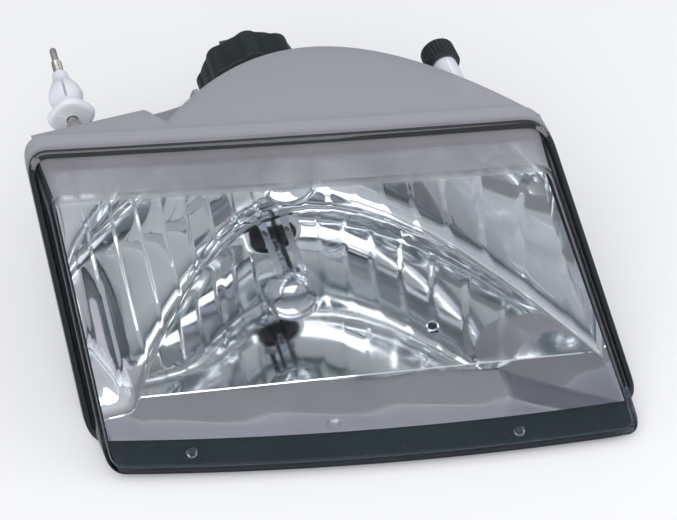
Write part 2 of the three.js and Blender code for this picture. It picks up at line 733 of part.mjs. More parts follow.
function inboardKnob() {
  const bore = SLEEVE_RADIUS + GAP;
  const webY = KNOB_BACK_Y - 7;
  const body = turned(
    [
      [bore, KNOB_FRONT_Y],
      [KNOB_RADIUS - 0.8, KNOB_FRONT_Y],
      [KNOB_RADIUS, KNOB_FRONT_Y + 1],
      [KNOB_RADIUS, KNOB_BACK_Y - 1.5],
      [KNOB_RADIUS - 1.5, KNOB_BACK_Y],
      [STUD_RADIUS + GAP, KNOB_BACK_Y],
      [STUD_RADIUS + GAP, webY],
      [bore, webY],
      [bore, KNOB_FRONT_Y],
    ],
    INBOARD.x,
    INBOARD.z,
    24,
  );
  const grips = [];
  const gripCount = 12;
  for (let i = 0; i < gripCount; i += 1) {
    const turn = (i / gripCount) * Math.PI * 2;
    const x = INBOARD.x + (KNOB_RADIUS + 0.5) * Math.cos(turn);
    const z = INBOARD.z + (KNOB_RADIUS + 0.5) * Math.sin(turn);
    grips.push(rod(1.1, KNOB_FRONT_Y + 4, KNOB_BACK_Y + 1, x, z, 6));
  }
  return cut(body, ...grips);
}

function inboardStud() {
  const tipY = KNOB_BACK_Y - 1;
  const shoulderY = BOSS_END_Y + 5;
  return turned(
    [
      [0, shoulderY],
      [SLEEVE_BORE - GAP, shoulderY],
      [SLEEVE_BORE - GAP, shoulderY + 8],
      [STUD_RADIUS, shoulderY + 10],
      [STUD_RADIUS, tipY - 1],
      [STUD_RADIUS - 1, tipY],
      [0, tipY],
    ],
    INBOARD.x,
    INBOARD.z,
    20,
  );
}

// ---------- the ball pivot ----------
function pivotSocket() {
  const mouthY = PIVOT_BALL_Y + 3.4;
  const body = turned(
    [
      [0, BOSS_END_Y - 8],
      [PIVOT_SPIGOT, BOSS_END_Y - 8],
      [PIVOT_SPIGOT, BOSS_END_Y + GAP],
      [11, BOSS_END_Y + GAP],
      [11, PIVOT_BALL_Y - 2],
      [8.4, mouthY],
      [0, mouthY],
    ],
    PIVOT.x,
    PIVOT.z,
    20,
  );
  const cup = new THREE.SphereGeometry(BALL_RADIUS + GAP, 16, 10);
  cup.translate(PIVOT.x, PIVOT_BALL_Y, PIVOT.z);
  return cut(body, toSolid(cup), rod(4.3, PIVOT_BALL_Y, mouthY + 1, PIVOT.x, PIVOT.z, 24));
}

function pivotStud() {
  const ball = new THREE.SphereGeometry(BALL_RADIUS, 16, 10);
  ball.translate(PIVOT.x, PIVOT_BALL_Y, PIVOT.z);
  const neckEnd = PIVOT_BALL_Y + 11;
  const shank = turned(
    [
      [0, PIVOT_BALL_Y],
      [2.4, PIVOT_BALL_Y + 1],
      [2.4, neckEnd - 2],
      [3.4, neckEnd],
      [3.4, PIVOT_END_Y - 1],
      [2.6, PIVOT_END_Y],
      [0, PIVOT_END_Y],
    ],
    PIVOT.x,
    PIVOT.z,
    12,
  );
  return join(toSolid(ball), shank, hexPrism(13, neckEnd, neckEnd + 4, PIVOT));
}

// ---------- small fittings ----------
// A rubber cap over the housing's breather tube.
function ventCap() {
  const bore = VENT_RADIUS + GAP;
  const mouthY = VENT_END_Y - 8;
  const webY = VENT_END_Y + 1;
  return turned(
    [
      [bore, mouthY],
      [bore + 2, mouthY],
      [bore + 2, webY],
      [bore - 2, webY + 5],
      [0, webY + 5],
      [0, webY],
      [bore, webY],
      [bore, mouthY],
    ],
    VENT.x,
    VENT.z,
  );
}

addPiece("housing", housing(), grey);
addPiece("reflector", reflector(), mirror);
addPiece("lens", lens(), clear);
addPiece("lens_seal", lensSeal(), rubber);
addPiece("lower_bezel", lowerBezel(), black);
addPiece("glare_shield", glareShield(), mirror);
RIVETS.forEach((x, i) => addPiece(`shield_rivet_${i + 1}`, shieldRivet(x), steel));
addPiece("bulb_base", bulbBase(), black);
addPiece("bulb_glass", bulbGlass(), glass);
addPiece("filament_supports", filamentSupports(), tungsten);
addPiece("low_beam_filament", filament(FILAMENT_Y, BULB_Z + 2.2), tungsten);
addPiece("high_beam_filament", filament(FILAMENT_Y + 9, BULB_Z - 2.2), tungsten);
TERMINAL_X.forEach((x, i) => addPiece(`bulb_terminal_${i + 1}`, terminal(x), brass));
addPiece("bulb_seal_ring", bulbSealRing(), rubber);
addPiece("retaining_ring", retainingRing(), black);
addPiece("outboard_adjuster_screw", outboardScrew(), steel);
addPiece("outboard_adjuster_washer", outboardWasher(), steel);
addPiece("outboard_adjuster_nut", outboardNut(), nylon);
addPiece("inboard_adjuster_sleeve", inboardSleeve(), nylon);
addPiece("inboard_adjuster_knob", inboardKnob(), black);
addPiece("inboard_adjuster_stud", inboardStud(), steel);
addPiece("pivot_socket", pivotSocket(), nylon);
addPiece("pivot_ball_stud", pivotStud(), steel);
addPiece("vent_cap", ventCap(), rubber);

export default lamp;
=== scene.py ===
"""Looks of the car headlight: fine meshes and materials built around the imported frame."""
import math

import bmesh
import bpy
import numpy as np
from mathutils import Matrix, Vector


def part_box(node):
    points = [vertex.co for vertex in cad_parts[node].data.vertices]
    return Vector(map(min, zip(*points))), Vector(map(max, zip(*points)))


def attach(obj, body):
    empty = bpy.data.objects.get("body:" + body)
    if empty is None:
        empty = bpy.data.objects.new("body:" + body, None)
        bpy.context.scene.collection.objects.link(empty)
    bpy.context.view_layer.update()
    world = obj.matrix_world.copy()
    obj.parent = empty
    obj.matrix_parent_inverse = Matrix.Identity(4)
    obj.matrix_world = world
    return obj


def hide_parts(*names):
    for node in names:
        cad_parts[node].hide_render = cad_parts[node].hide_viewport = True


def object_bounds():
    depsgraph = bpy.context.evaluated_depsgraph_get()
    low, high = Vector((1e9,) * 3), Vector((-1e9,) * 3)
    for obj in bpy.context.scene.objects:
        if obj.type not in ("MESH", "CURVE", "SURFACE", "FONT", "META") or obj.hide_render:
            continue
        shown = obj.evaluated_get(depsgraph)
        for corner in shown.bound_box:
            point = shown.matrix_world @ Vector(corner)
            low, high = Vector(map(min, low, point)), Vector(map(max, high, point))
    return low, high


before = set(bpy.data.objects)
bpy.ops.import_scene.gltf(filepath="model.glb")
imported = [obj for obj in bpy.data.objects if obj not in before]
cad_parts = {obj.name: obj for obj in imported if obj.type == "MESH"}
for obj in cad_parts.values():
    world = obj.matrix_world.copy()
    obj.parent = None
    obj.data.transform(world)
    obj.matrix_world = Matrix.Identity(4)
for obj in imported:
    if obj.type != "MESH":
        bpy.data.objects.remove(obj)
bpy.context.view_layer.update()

MM = 0.001

# ---------- places taken from the frame ----------
# Shapes below are in millimetres about the middle of the lens rim; AT turns them into the frame.
housing_low, housing_high = (Vector(corner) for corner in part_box("housing"))
glass_low, glass_high = (Vector(corner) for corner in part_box("bulb_glass"))
BULB_X, BULB_Z = 2.0, 1.5
GLASS_TIP_Y = 101.0
AT = np.array([
    (glass_low.x + glass_high.x) / 2 - BULB_X * MM,
    glass_low.y - GLASS_TIP_Y * MM,
    (housing_low.z + housing_high.z) / 2,
])


def node_axis(node):
    """The (x, z) of a CAD node's middle, in millimetres about the lens rim."""
    low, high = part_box(node)
    return (((np.array(low) + np.array(high)) / 2 - AT) / MM)[[0, 2]]


def node_ends(node):
    """Front and back of a CAD node along Y, in millimetres about the lens rim."""
    return [((np.array(corner) - AT) / MM)[1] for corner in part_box(node)]


# ---------- the lamp's driving sizes ----------
HALF_HEIGHT = (housing_high.z - housing_low.z) / 2 / MM
TOP_LEFT, TOP_RIGHT = -155.0, 142.0
BOTTOM_LEFT, BOTTOM_RIGHT = -160.0, 173.0
LEAN = math.tan(math.radians(37.6))
SWEEP = math.tan(math.radians(12.9))
BOW = 8.0
CORNER_RADIUS = 14.0
FRAME_DEPTH, FRAME_WIDTH = 12.0, 9.0
GROOVE_OUTER, GROOVE_INNER, GROOVE_DEPTH = 2.2, 7.0, 8.0
LENS_DEPTH, LENS_WALL, LENS_INSET, LENS_FOOT = 32.0, 2.4, 3.2, 5.0
DRAFT_LEFT, DRAFT_RIGHT, DRAFT_TOP, DRAFT_BOTTOM = 4.0, 7.0, 1.5, 1.5
FOCAL_LENGTH = 36.0
OPENING_X, OPENING_RUN, OPENING_FOCUS = -40.0, 100.0, 24.0
VERTEX_Y = 145.0
BOWL_HALF_HEIGHT, BOWL_WALL, BOWL_INSET = 61.9, 1.6, FRAME_WIDTH + 2.4
FLUTE_PITCH, FLUTE_DEPTH, FLUTE_STEP = 16.5, 0.25, 0.65
CREASE_Y, CREASE_SLOPE, CREASE_DROP, CREASE_FRONT = -28.5, 0.1955, 0.6, 1.3
EYE_RADIUS = 18.8
DRAIN_AT, DRAIN_RADIUS = (66.0, -10.0), 4.2
HOUSING_GAP, HOUSING_WALL = 4.0, 2.4
ROOF_Z = 68.0
ROOF_CREST_X, ROOF_CREST_Y, ROOF_FOCUS = 10.0, 130.0, 44.0
WING_EDGE_Y, WING_INNER_X = 107.0, -70.0
COLLAR_RADIUS, COLLAR_END_Y = 25.5, 176.0
BOSS_END_Y = 70.0
BOSS_FACE_Y = WING_EDGE_Y + 3
SHIELD_Y, SHIELD_RADIUS, SHIELD_SHEET, SHIELD_DEPTH = 85.0, 21.0, 1.0, 15.0
RING_OUTER, RING_LOBES, LOBE_RADIUS = 33.5, 8, 8.0


def lerp(a, b, t):
    return a + (b - a) * t


def curve(a, corner, b, t):
    """A point on the bend from a to b that a corner pulls outward."""
    return (1 - t) ** 2 * a + 2 * t * (1 - t) * corner + t**2 * b


def height_share(z):
    return (z + HALF_HEIGHT) / (2 * HALF_HEIGHT)


def left_edge(z):
    return lerp(BOTTOM_LEFT, TOP_LEFT, height_share(z))


def right_edge(z):
    return lerp(BOTTOM_RIGHT, TOP_RIGHT, height_share(z))


def span_x(z, inset, share):
    """The x at a share of the way across the rim, with both edges moved in by an inset."""
    return lerp(left_edge(z) + inset, right_edge(z) - inset, share)


def rake_y(x, z):
    """The front plane of the rim: it leans back, is swept round and bulges along its foot."""
    fullness = lerp(1, 0.2, height_share(z))
    crown = BOW * fullness * (1 - (x / 165) ** 2)
    return LEAN * z - SWEEP * x - crown


def focus_across(x, z):
    """Outboard of the bulb the bowl opens out across, most of all above its floor."""
    outboard = np.clip((OPENING_X - x) / OPENING_RUN, 0, 1)
    above = np.clip(1 + z / BOWL_HALF_HEIGHT, 0, 1)
    return FOCAL_LENGTH + OPENING_FOCUS * outboard * above


def bowl_y(x, z):
    across = (x - BULB_X) ** 2 / (4 * focus_across(x, z))
    return VERTEX_Y - across - (z - BULB_Z) ** 2 / (4 * FOCAL_LENGTH)


def smooth_max(a, b, blend):
    """The larger of two heights, with the crease between them rounded off."""
    return 0.5 * (a + b + np.sqrt((a - b) ** 2 + blend**2)) - blend * 0.1


def reflector_y(x, z, blend=3.0):
    wing = np.where(x < BULB_X, 46 + LEAN * z, rake_y(x, z) + 8)
    return smooth_max(smooth_max(bowl_y(x, z), wing, blend), rake_y(x, z) + 8, blend)


# ---------- mesh building ----------
def make_object(name, shape, materials=(), smooth=40):
    """A mesh object from (verts, faces) in millimetres."""
    verts, faces = shape
    mesh = bpy.data.meshes.new(name)
    points = np.asarray(verts, float) * MM + AT
    mesh.from_pydata(points.tolist(), [], [tuple(int(i) for i in face) for face in faces])
    for material in materials:
        mesh.materials.append(material)
    obj = bpy.data.objects.new(name, mesh)
    bpy.context.scene.collection.objects.link(obj)
    clean(mesh)
    shade(mesh, smooth)
    return obj


def piece(name, shape, material, node, body="lamp_body", smooth=40):
    """A visible piece of one or more materials; it rides on a body and stands for a CAD node."""
    obj = make_object(name, shape, material if isinstance(material, list) else [material], smooth)
    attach(obj, body)
    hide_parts(node)
    return obj


def clean(mesh):
    bm = bmesh.new()
    bm.from_mesh(mesh)
    bmesh.ops.remove_doubles(bm, verts=bm.verts, dist=1e-6)
    bmesh.ops.dissolve_degenerate(bm, edges=bm.edges, dist=1e-7)
    bmesh.ops.recalc_face_normals(bm, faces=bm.faces)
    bm.to_mesh(mesh)
    bm.free()


def shade(mesh, degrees):
    mesh.shade_smooth()
    mesh.set_sharp_from_angle(angle=math.radians(degrees))


def merged(*parts):
    """Joins (verts, faces) pairs into one."""
    verts, faces = [], []
    for part_verts, part_faces in parts:
        start = len(verts)
        verts.extend([tuple(v) for v in part_verts])
        faces.extend([tuple(int(i) + start for i in face) for face in part_faces])
    return verts, faces


def grid_faces(rows, columns, wrap_rows=False, wrap_columns=False):
    faces = []
    for r in range(rows if wrap_rows else rows - 1):
        for c in range(columns if wrap_columns else columns - 1):
            r2, c2 = (r + 1) % rows, (c + 1) % columns
            faces.append((r * columns + c, r * columns + c2, r2 * columns + c2, r2 * columns + c))
    return faces


def capped_faces(rows, columns):
    """The faces of a closed bar: its sides and both ends."""
    faces = grid_faces(rows, columns, wrap_columns=True)
    faces.append(tuple(range(columns)))
    faces.append(tuple((rows - 1) * columns + i for i in reversed(range(columns))))
    return faces


def corner_arc(before, corner, after, size, steps):
    """The arc that replaces a corner, starting and ending a given size away from it."""
    a, b = (corner + side / np.linalg.norm(side) * size for side in (before - corner, after - corner))
    return [curve(a, corner, b, k / steps) for k in range(steps + 1)]


def rounded(profile, radius, steps=3):
    """A polyline with its inner corners turned into small arcs."""
    points = [np.array(p, float) for p in profile]
    out = [points[0]]
    for before, corner, after in zip(points, points[1:], points[2:]):
        room = min(np.linalg.norm(before - corner), np.linalg.norm(after - corner)) * 0.45
        size = min(radius, room)
        out.extend([corner] if size < 1e-3 else corner_arc(before, corner, after, size, steps))
    return [*out, points[-1]]


def rounded_loop(profile, radius):
    """A closed outline with its corners rounded, but for the first."""
    return rounded([*profile, profile[0]], radius)[:-1]


def turned(profile, x=BULB_X, z=BULB_Z, segments=64, radius=0.5, closed=False, swell=None):
    """A piece turned about a line along Y, from [radius, y] points; closed joins last to first.

    swell(angle, r, y) can change the radius round the piece.
    """
    points = profile
    if radius:
        points = rounded_loop(profile, radius) if closed else rounded(profile, radius)
    verts = []
    for r, y in points:
        for a in np.linspace(0, math.tau, segments, endpoint=False):
            reach = max(swell(a, r, y) if swell else r, 0)
            verts.append((x + reach * math.cos(a), y, z + reach * math.sin(a)))
    return verts, grid_faces(len(points), segments, wrap_rows=closed, wrap_columns=True)


def arc(radius, middle_y, start, end, steps, depth=None):
    """Part of a round outline, or an oval one of a given depth; degrees count from its front."""
    turns = np.linspace(math.radians(start), math.radians(end), steps + 1)
    return [[radius * math.sin(a), middle_y - (depth or radius) * math.cos(a)] for a in turns]


def threaded(crest, root, pitch, y0, y1, x, z, sides=28, per_turn=8):
    """A rod with a screw thread that fades out at both ends."""
    rows = int((y1 - y0) / pitch * per_turn)
    verts = []
    for i in range(rows + 1):
        y = lerp(y0, y1, i / rows)
        fade = max(min(1, (y - y0) / pitch, (y1 - y) / pitch), 0)
        for k in range(sides):
            a = math.tau * k / sides
            phase = (y / pitch - k / sides) % 1
            r = root + (crest - root) * (1 - abs(2 * phase - 1)) * fade
            verts.append((x + r * math.cos(a), y, z + r * math.sin(a)))
    return verts, capped_faces(rows + 1, sides)


def hexagon(across_flats, y0, y1, x, z):
    """A six-sided head with its corners turned off at both ends."""
    corner, flat = across_flats / math.sqrt(3), across_flats / 2
    chamfer = 0.12 * across_flats

    def six_sided(angle, r, y):
        spread = (angle + math.pi / 6) % (math.pi / 3) - math.pi / 6
        return min(r, flat / math.cos(spread))

    profile = [
        [0, y0], [flat * 0.96, y0], [corner, y0 + chamfer],
        [corner, y1 - chamfer], [flat * 0.96, y1], [0, y1],
    ]
    return turned(profile, x, z, 72, 0, swell=six_sided)


def block(x, half_x, y0, y1, z, half_z):
    """A box about a line along Y."""
    xs, zs = (x - half_x, x + half_x), (z - half_z, z + half_z)
    verts = [(x, y, z) for x in xs for y in (y0, y1) for z in zs]
    faces = [(0, 1, 3, 2), (4, 6, 7, 5), (0, 4, 5, 1), (2, 3, 7, 6), (0, 2, 6, 4), (1, 5, 7, 3)]
    return verts, faces


def sweep(path, radius, sides=10):
    """A round wire along a line of points."""
    path = np.asarray(path, float)
    tangents = np.gradient(path, axis=0)
    verts = []
    up = np.array([0.31, 0.2, 0.93])
    for point, tangent in zip(path, tangents):
        tangent = tangent / np.linalg.norm(tangent)
        side = np.cross(tangent, up)
        side /= np.linalg.norm(side)
        over = np.cross(side, tangent)
        for i in range(sides):
            a = math.tau * i / sides
            verts.append(point + radius * (math.cos(a) * side + math.sin(a) * over))
    return verts, capped_faces(len(path), sides)


def bevel(obj, width_mm, segments=2, degrees=40):
    mod = obj.modifiers.new("edge", "BEVEL")
    mod.width = width_mm * MM
    mod.segments = segments
    mod.limit_method = "ANGLE"
    mod.angle_limit = math.radians(degrees)


def carve(obj, tools, operation="DIFFERENCE"):
    """Cuts or joins closed (verts, faces) tools into an object's mesh."""
    for shape in tools:
        tool = make_object("tool", shape)
        mod = obj.modifiers.new("carve", "BOOLEAN")
        mod.operation = operation
        mod.solver = "EXACT"
        mod.object = tool
        bpy.context.view_layer.update()
        deps = bpy.context.evaluated_depsgraph_get()
        baked = bpy.data.meshes.new_from_object(obj.evaluated_get(deps), depsgraph=deps)
        obj.modifiers.clear()
        obj.data = baked
        bpy.data.objects.remove(tool)
    clean(obj.data)
    shade(obj.data, 35)


# ---------- materials ----------
def wire(tree, node, **inputs):
    """Feeds a node's inputs (with _ for a space) from values or from other nodes' outputs."""
    for name, value in inputs.items():
        socket = node.inputs[name.replace("_", " ")]
        if isinstance(value, bpy.types.NodeSocket):
            tree.links.new(value, socket)
        else:
            socket.default_value = (*value, 1) if socket.type == "RGBA" else value
    return node


def add_node(tree, kind, **inputs):
    return wire(tree, tree.nodes.new("ShaderNode" + kind), **inputs)


def new_material(name):
    material = bpy.data.materials.new(name)
    material.use_nodes = True
    return material, material.node_tree, material.node_tree.nodes["Principled BSDF"]


def noise(tree, scale, detail=4.0, roughness=0.55, stretch=None):
    """A noise texture in object space; scale is in lumps per metre."""
    place = add_node(tree, "TexCoord").outputs["Object"]
    if stretch:
        place = add_node(tree, "Mapping", Scale=stretch, Vector=place).outputs["Vector"]
    texture = add_node(tree, "TexNoise", Scale=scale, Detail=detail, Roughness=roughness, Vector=place)
    return texture.outputs["Fac"]


def ramp(tree, source, low, high, start=0.3, end=0.7):
    node = add_node(tree, "MapRange", Value=source, From_Min=start, From_Max=end, To_Min=low, To_Max=high)
    return node.outputs["Result"]


def colour_mix(tree, source, first, second):
    """Mixes two colours, either of which may be another node's output."""
    node = tree.nodes.new("ShaderNodeMix")
    node.data_type = "RGBA"
    return wire(tree, node, Factor=source, A=first, B=second).outputs["Result"]


def clouds(tree, dark, light, scale, detail=4.0):
    """Soft patches of two colours."""
    return colour_mix(tree, ramp(tree, noise(tree, scale, detail), 0, 1), dark, light)


def bump(tree, source, strength, distance_mm):
    node = add_node(tree, "Bump", Strength=strength, Distance=distance_mm * MM, Height=source)
    return node.outputs["Normal"]


def plastic(name, dark, light, edge_highlight, roughness, grain_per_m=2600, grain=0.12, gloss=0.5):
    """Moulded plastic: cloudy colour, fine spark-eroded grain, and convex edges lightened as a painted
    highlight.
    """
    material, tree, shader = new_material(name)
    # Painted highlight: convex edges (found by pointiness) are mixed towards a lighter colour.
    edges = ramp(tree, add_node(tree, "NewGeometry").outputs["Pointiness"], 0, 1, 0.505, 0.56)
    wire(
        tree, shader,
        Base_Color=colour_mix(tree, edges, clouds(tree, dark, light, 28), edge_highlight),
        Specular_IOR_Level=gloss,
        Roughness=ramp(tree, noise(tree, 90, 3), roughness - 0.07, roughness + 0.08),
        Normal=bump(tree, noise(tree, grain_per_m, 2), grain, 0.25),
    )
    return material


def metal(name, dark, light, roughness, stretch, scratch):
    """Bare or plated metal with drawn scratches and uneven sheen."""
    material, tree, shader = new_material(name)
    lines = noise(tree, 700, 3, 0.6, stretch)
    wire(
        tree, shader, Metallic=1,
        Base_Color=clouds(tree, dark, light, 120),
        Roughness=ramp(tree, lines, roughness * 0.7, roughness * 1.4),
        Normal=bump(tree, lines, scratch, 0.1),
    )
    return material


def mirror_material():
    """Vacuum-metallised plastic: bright, very slightly wavy, with a trace of haze."""
    material, tree, shader = new_material("metallised_mirror")
    wire(
        tree, shader, Metallic=1,
        Base_Color=clouds(tree, (0.84, 0.855, 0.86), (0.92, 0.93, 0.935), 16, 3),
        Roughness=ramp(tree, noise(tree, 45, 4), 0.02, 0.07),
        Normal=bump(tree, noise(tree, 38, 2, 0.4), 0.04, 0.2),
    )
    return material


def clear_material(name, tint, edge_tint, reflect, ripple):
    """Clear moulded wall: light passes straight through, and its faces mirror by angle."""
    material, tree, shader = new_material(name)
    tree.nodes.remove(shader)
    facing = add_node(tree, "LayerWeight", Blend=0.5).outputs["Facing"]
    slant = ramp(tree, facing, 0, 1, 0.45, 1.0)
    through = add_node(tree, "BsdfTransparent", Color=colour_mix(tree, slant, tint, edge_tint))
    ripples = bump(tree, noise(tree, 40, 2), ripple, 0.4)
    shine = add_node(tree, "BsdfGlossy", Roughness=0.03, Color=(0.95, 0.97, 1), Normal=ripples)
    rim = add_node(tree, "Fresnel", IOR=1.5, Normal=ripples)
    mix = add_node(tree, "MixShader", Fac=ramp(tree, rim.outputs["Fac"], 0, reflect, 0, 1))
    tree.links.new(through.outputs["BSDF"], mix.inputs[1])
    tree.links.new(shine.outputs["BSDF"], mix.inputs[2])
    tree.links.new(mix.outputs["Shader"], tree.nodes["Material Output"].inputs["Surface"])
    return material


def frosted_material():
    """The etched top wall of the lens: satin grey, and about half the light passes."""
    material, tree, shader = new_material("frosted_lens_wall")
    wire(
        tree, shader,
        Base_Color=clouds(tree, (0.40, 0.40, 0.425), (0.52, 0.52, 0.55), 14, 3),
        Roughness=ramp(tree, noise(tree, 60, 4), 0.28, 0.45),
        Alpha=0.80, Transmission_Weight=0.55, IOR=1.2,
        Normal=bump(tree, noise(tree, 3200, 2), 0.15, 0.1),
    )
    return material


GREY = plastic("grey_housing_plastic", (0.19, 0.19, 0.215), (0.235, 0.232, 0.26), (0.33, 0.33, 0.36), 0.50)
BLACK = plastic(
    "black_plastic", (0.008, 0.014, 0.016), (0.018, 0.026, 0.028), (0.06, 0.07, 0.075), 0.36, gloss=0.2
)
TRIM = plastic(
    "dark_trim_plastic", (0.006, 0.018, 0.022), (0.012, 0.028, 0.032), (0.03, 0.05, 0.055), 0.22, gloss=0.25
)
NYLON = plastic("white_nylon", (0.72, 0.74, 0.80), (0.84, 0.86, 0.92), (0.9, 0.92, 0.96), 0.38, 1800, 0.06)
RUBBER = plastic("rubber", (0.012, 0.012, 0.013), (0.03, 0.03, 0.032), (0.07, 0.07, 0.07), 0.78, 3000, 0.3)
SEALANT = plastic("sealant", (0.03, 0.03, 0.034), (0.055, 0.055, 0.06), (0.09, 0.09, 0.1), 0.6, 900, 0.3)
MIRROR = mirror_material()
CHROME = metal("pressed_chrome", (0.66, 0.68, 0.72), (0.80, 0.82, 0.86), 0.08, (1, 1, 1), 0.02)
STEEL = metal("zinc_plated_steel", (0.36, 0.35, 0.33), (0.56, 0.55, 0.53), 0.30, (1, 0.08, 1), 0.08)
BRASS = metal("tinned_brass", (0.56, 0.47, 0.28), (0.72, 0.63, 0.42), 0.28, (1, 0.1, 1), 0.06)
TUNGSTEN = metal("filament_wire", (0.22, 0.21, 0.20), (0.38, 0.36, 0.34), 0.42, (1, 1, 1), 0.1)
LENS_CLEAR = clear_material("clear_lens", (0.965, 0.972, 0.98), (0.62, 0.62, 0.67), 0.35, 0.02)
LENS_SKIRT = clear_material("lens_skirt", (0.60, 0.59, 0.62), (0.28, 0.28, 0.30), 0.8, 0.05)
LENS_EDGE = clear_material("lens_edge", (0.22, 0.24, 0.27), (0.05, 0.07, 0.08), 1.6, 0.05)
QUARTZ = clear_material("quartz_glass", (0.96, 0.975, 0.985), (0.6, 0.62, 0.65), 1.3, 0.02)
FROSTED = frosted_material()


# ---------- the rim's outline ----------
def frame_outline(inset, per_side=36, per_corner=10):
    """Points round the rim (x, z), moved in by an inset, with rounded corners."""
    radius = max(CORNER_RADIUS - inset, 3)
    low, high = -HALF_HEIGHT + inset, HALF_HEIGHT - inset
    places = ((0, low), (1, low), (1, high), (0, high))
    corners = [np.array([span_x(z, inset, side), z]) for side, z in places]
    bends = []
    for i, corner in enumerate(corners):
        bends.append(corner_arc(corners[i - 1], corner, corners[(i + 1) % 4], radius, per_corner))
    points = []
    for i, bend in enumerate(bends):
        points.extend(bend)
        following = bends[(i + 1) % 4][0]
        points.extend(lerp(bend[-1], following, k / per_side) for k in range(1, per_side))
    return np.array(points)


def raked(points, depth):
    """Puts (x, z) points at a depth behind the rim's front plane."""
    x, z = points[:, 0], points[:, 1]
    return np.stack([x, rake_y(x, z) + depth, z], axis=1)


def ring_from_profile(profile, radius):
    """A closed ring round the rim from an (inset, depth) outline with rounded corners."""
    loops = [raked(frame_outline(inset), depth) for inset, depth in rounded_loop(profile, radius)]
    verts = np.concatenate(loops)
    return verts, grid_faces(len(loops), len(loops[0]), wrap_rows=True, wrap_columns=True)


# ---------- bowl shells ----------
FLOOR_STEPS, APRON_STEPS, FILLET_STEPS, RISE_STEPS = 26, 8, 9, 34


def apron(line, x, fold, front_y, fillet_y):
    """Steps a floor line down in front of its fold, where it waves slightly."""
    z = line[0][2]
    for k in range(APRON_STEPS):
        t = k / (APRON_STEPS - 1)
        y = lerp(front_y, fold - 0.7, t)
        wave = 0.06 * math.sin(x / 8 + y / 6) * math.sin(math.pi * t)
        line[k] = (x, y, z - lerp(CREASE_FRONT, CREASE_DROP, t) + wave)
    for k in range(APRON_STEPS, FLOOR_STEPS):
        t = (k - APRON_STEPS) / (FLOOR_STEPS - APRON_STEPS)
        line[k] = (x, lerp(fold, fillet_y, t), z)


def bowl_shell(columns, half_height, inset, back, front, fillet, crease=None):
    """A box-like bowl, open at the front: its main surface and its two end walls.

    Columns run across (0 to 1); in each, a line runs from the floor's front edge back along the
    floor, round a fillet, up the bowl, round a second fillet and forward along the ceiling.
    """
    def on_back(u, z):
        x = span_x(z, inset, u)
        return x, float(back(np.float64(x), np.float64(z))), z

    def shelf(u, z_end, inward):
        """The floor's or ceiling's line and its fillet, and the height where the rise starts."""
        x, corner_y, _ = on_back(u, z_end)
        front_y = float(front(x, z_end))
        size = min(fillet, max((corner_y - front_y) * 0.6, 0.01))
        fillet_y = corner_y - size
        x_up, y_up, z_up = on_back(u, z_end + inward * size)
        line = [(x, lerp(front_y, fillet_y, k / FLOOR_STEPS), z_end) for k in range(FLOOR_STEPS)]
        if crease and inward == 1:
            apron(line, x, max(min(crease(x), fillet_y - 0.6), front_y + 1.5), front_y, fillet_y)
        for k in range(FILLET_STEPS):
            t = k / FILLET_STEPS
            y = curve(fillet_y, corner_y, y_up, t)
            line.append((curve(x, x, x_up, t), y, curve(z_end, z_end, z_up, t)))
        return line, z_up

    rows = []
    for u in columns:
        floor, z0 = shelf(u, -half_height, 1)
        ceiling, z1 = shelf(u, half_height, -1)
        rise = [on_back(u, lerp(z0, z1, k / RISE_STEPS)) for k in range(RISE_STEPS + 1)]
        rows.append([*floor, *rise, *reversed(ceiling)])
    surface = [point for line in rows for point in line], grid_faces(len(rows), len(rows[0]))
    return surface, [end_wall(line, front) for line in (rows[0], rows[-1])]


def end_wall(line, front, steps=10):
    """Closes one end of a bowl shell: from its end column forward to the front edge."""
    verts = []
    for k in range(steps + 1):
        for x, y, z in line:
            verts.append((x, lerp(y, float(front(x, z)), k / steps), z))
    return verts, grid_faces(steps + 1, len(line))


def flute_columns(per_flute=10, edge=0.022):
    """Column positions across the reflector with a tight pair at each flute's edge."""
    left = left_edge(0) + BOWL_INSET
    width = right_edge(0) - BOWL_INSET - left
    first = math.floor((left - BULB_X) / FLUTE_PITCH)
    last = math.ceil((left + width - BULB_X) / FLUTE_PITCH)
    spots = []
    for i in range(first, last):
        for k in range(per_flute + 1):
            share = min(max(k / per_flute, edge), 1 - edge)
            spots.append(BULB_X + (i + share) * FLUTE_PITCH)
    inside = [(s - left) / width for s in spots if left < s < left + width]
    return [0.0] + inside + [1.0]


def fluted_y(x, z):
    """The reflector's face: each upright flute is a shallow pillow with a small step at its edge."""
    phase = (x - BULB_X) / FLUTE_PITCH
    phase = phase - np.floor(phase)
    pillow = FLUTE_DEPTH * 4 * phase * (1 - phase)
    return reflector_y(x, z) - pillow - FLUTE_STEP * (phase - 0.5)


def crease_y(x):
    """Where the floor steps down to its front apron."""
    return CREASE_Y - CREASE_SLOPE * x


def reflector_front(x, z):
    return rake_y(x, z) + lerp(-14.5, 1.5, height_share(z))


def cut_eye(verts, faces, band=1.3):
    """Draws points near the bulb's hole onto its edge, and leaves out the faces inside it."""
    points = np.array(verts, float)
    dx, dz = points[:, 0] - BULB_X, points[:, 2] - BULB_Z
    reach = np.maximum(np.hypot(dx, dz), 1e-6)
    behind = points[:, 1] > VERTEX_Y - 20
    near = (np.abs(reach - EYE_RADIUS) < band) & behind
    points[near, 0] = BULB_X + dx[near] / reach[near] * EYE_RADIUS
    points[near, 2] = BULB_Z + dz[near] / reach[near] * EYE_RADIUS
    inside = (reach < EYE_RADIUS - band) & behind
    return points, [face for face in faces if not any(inside[list(face)])]


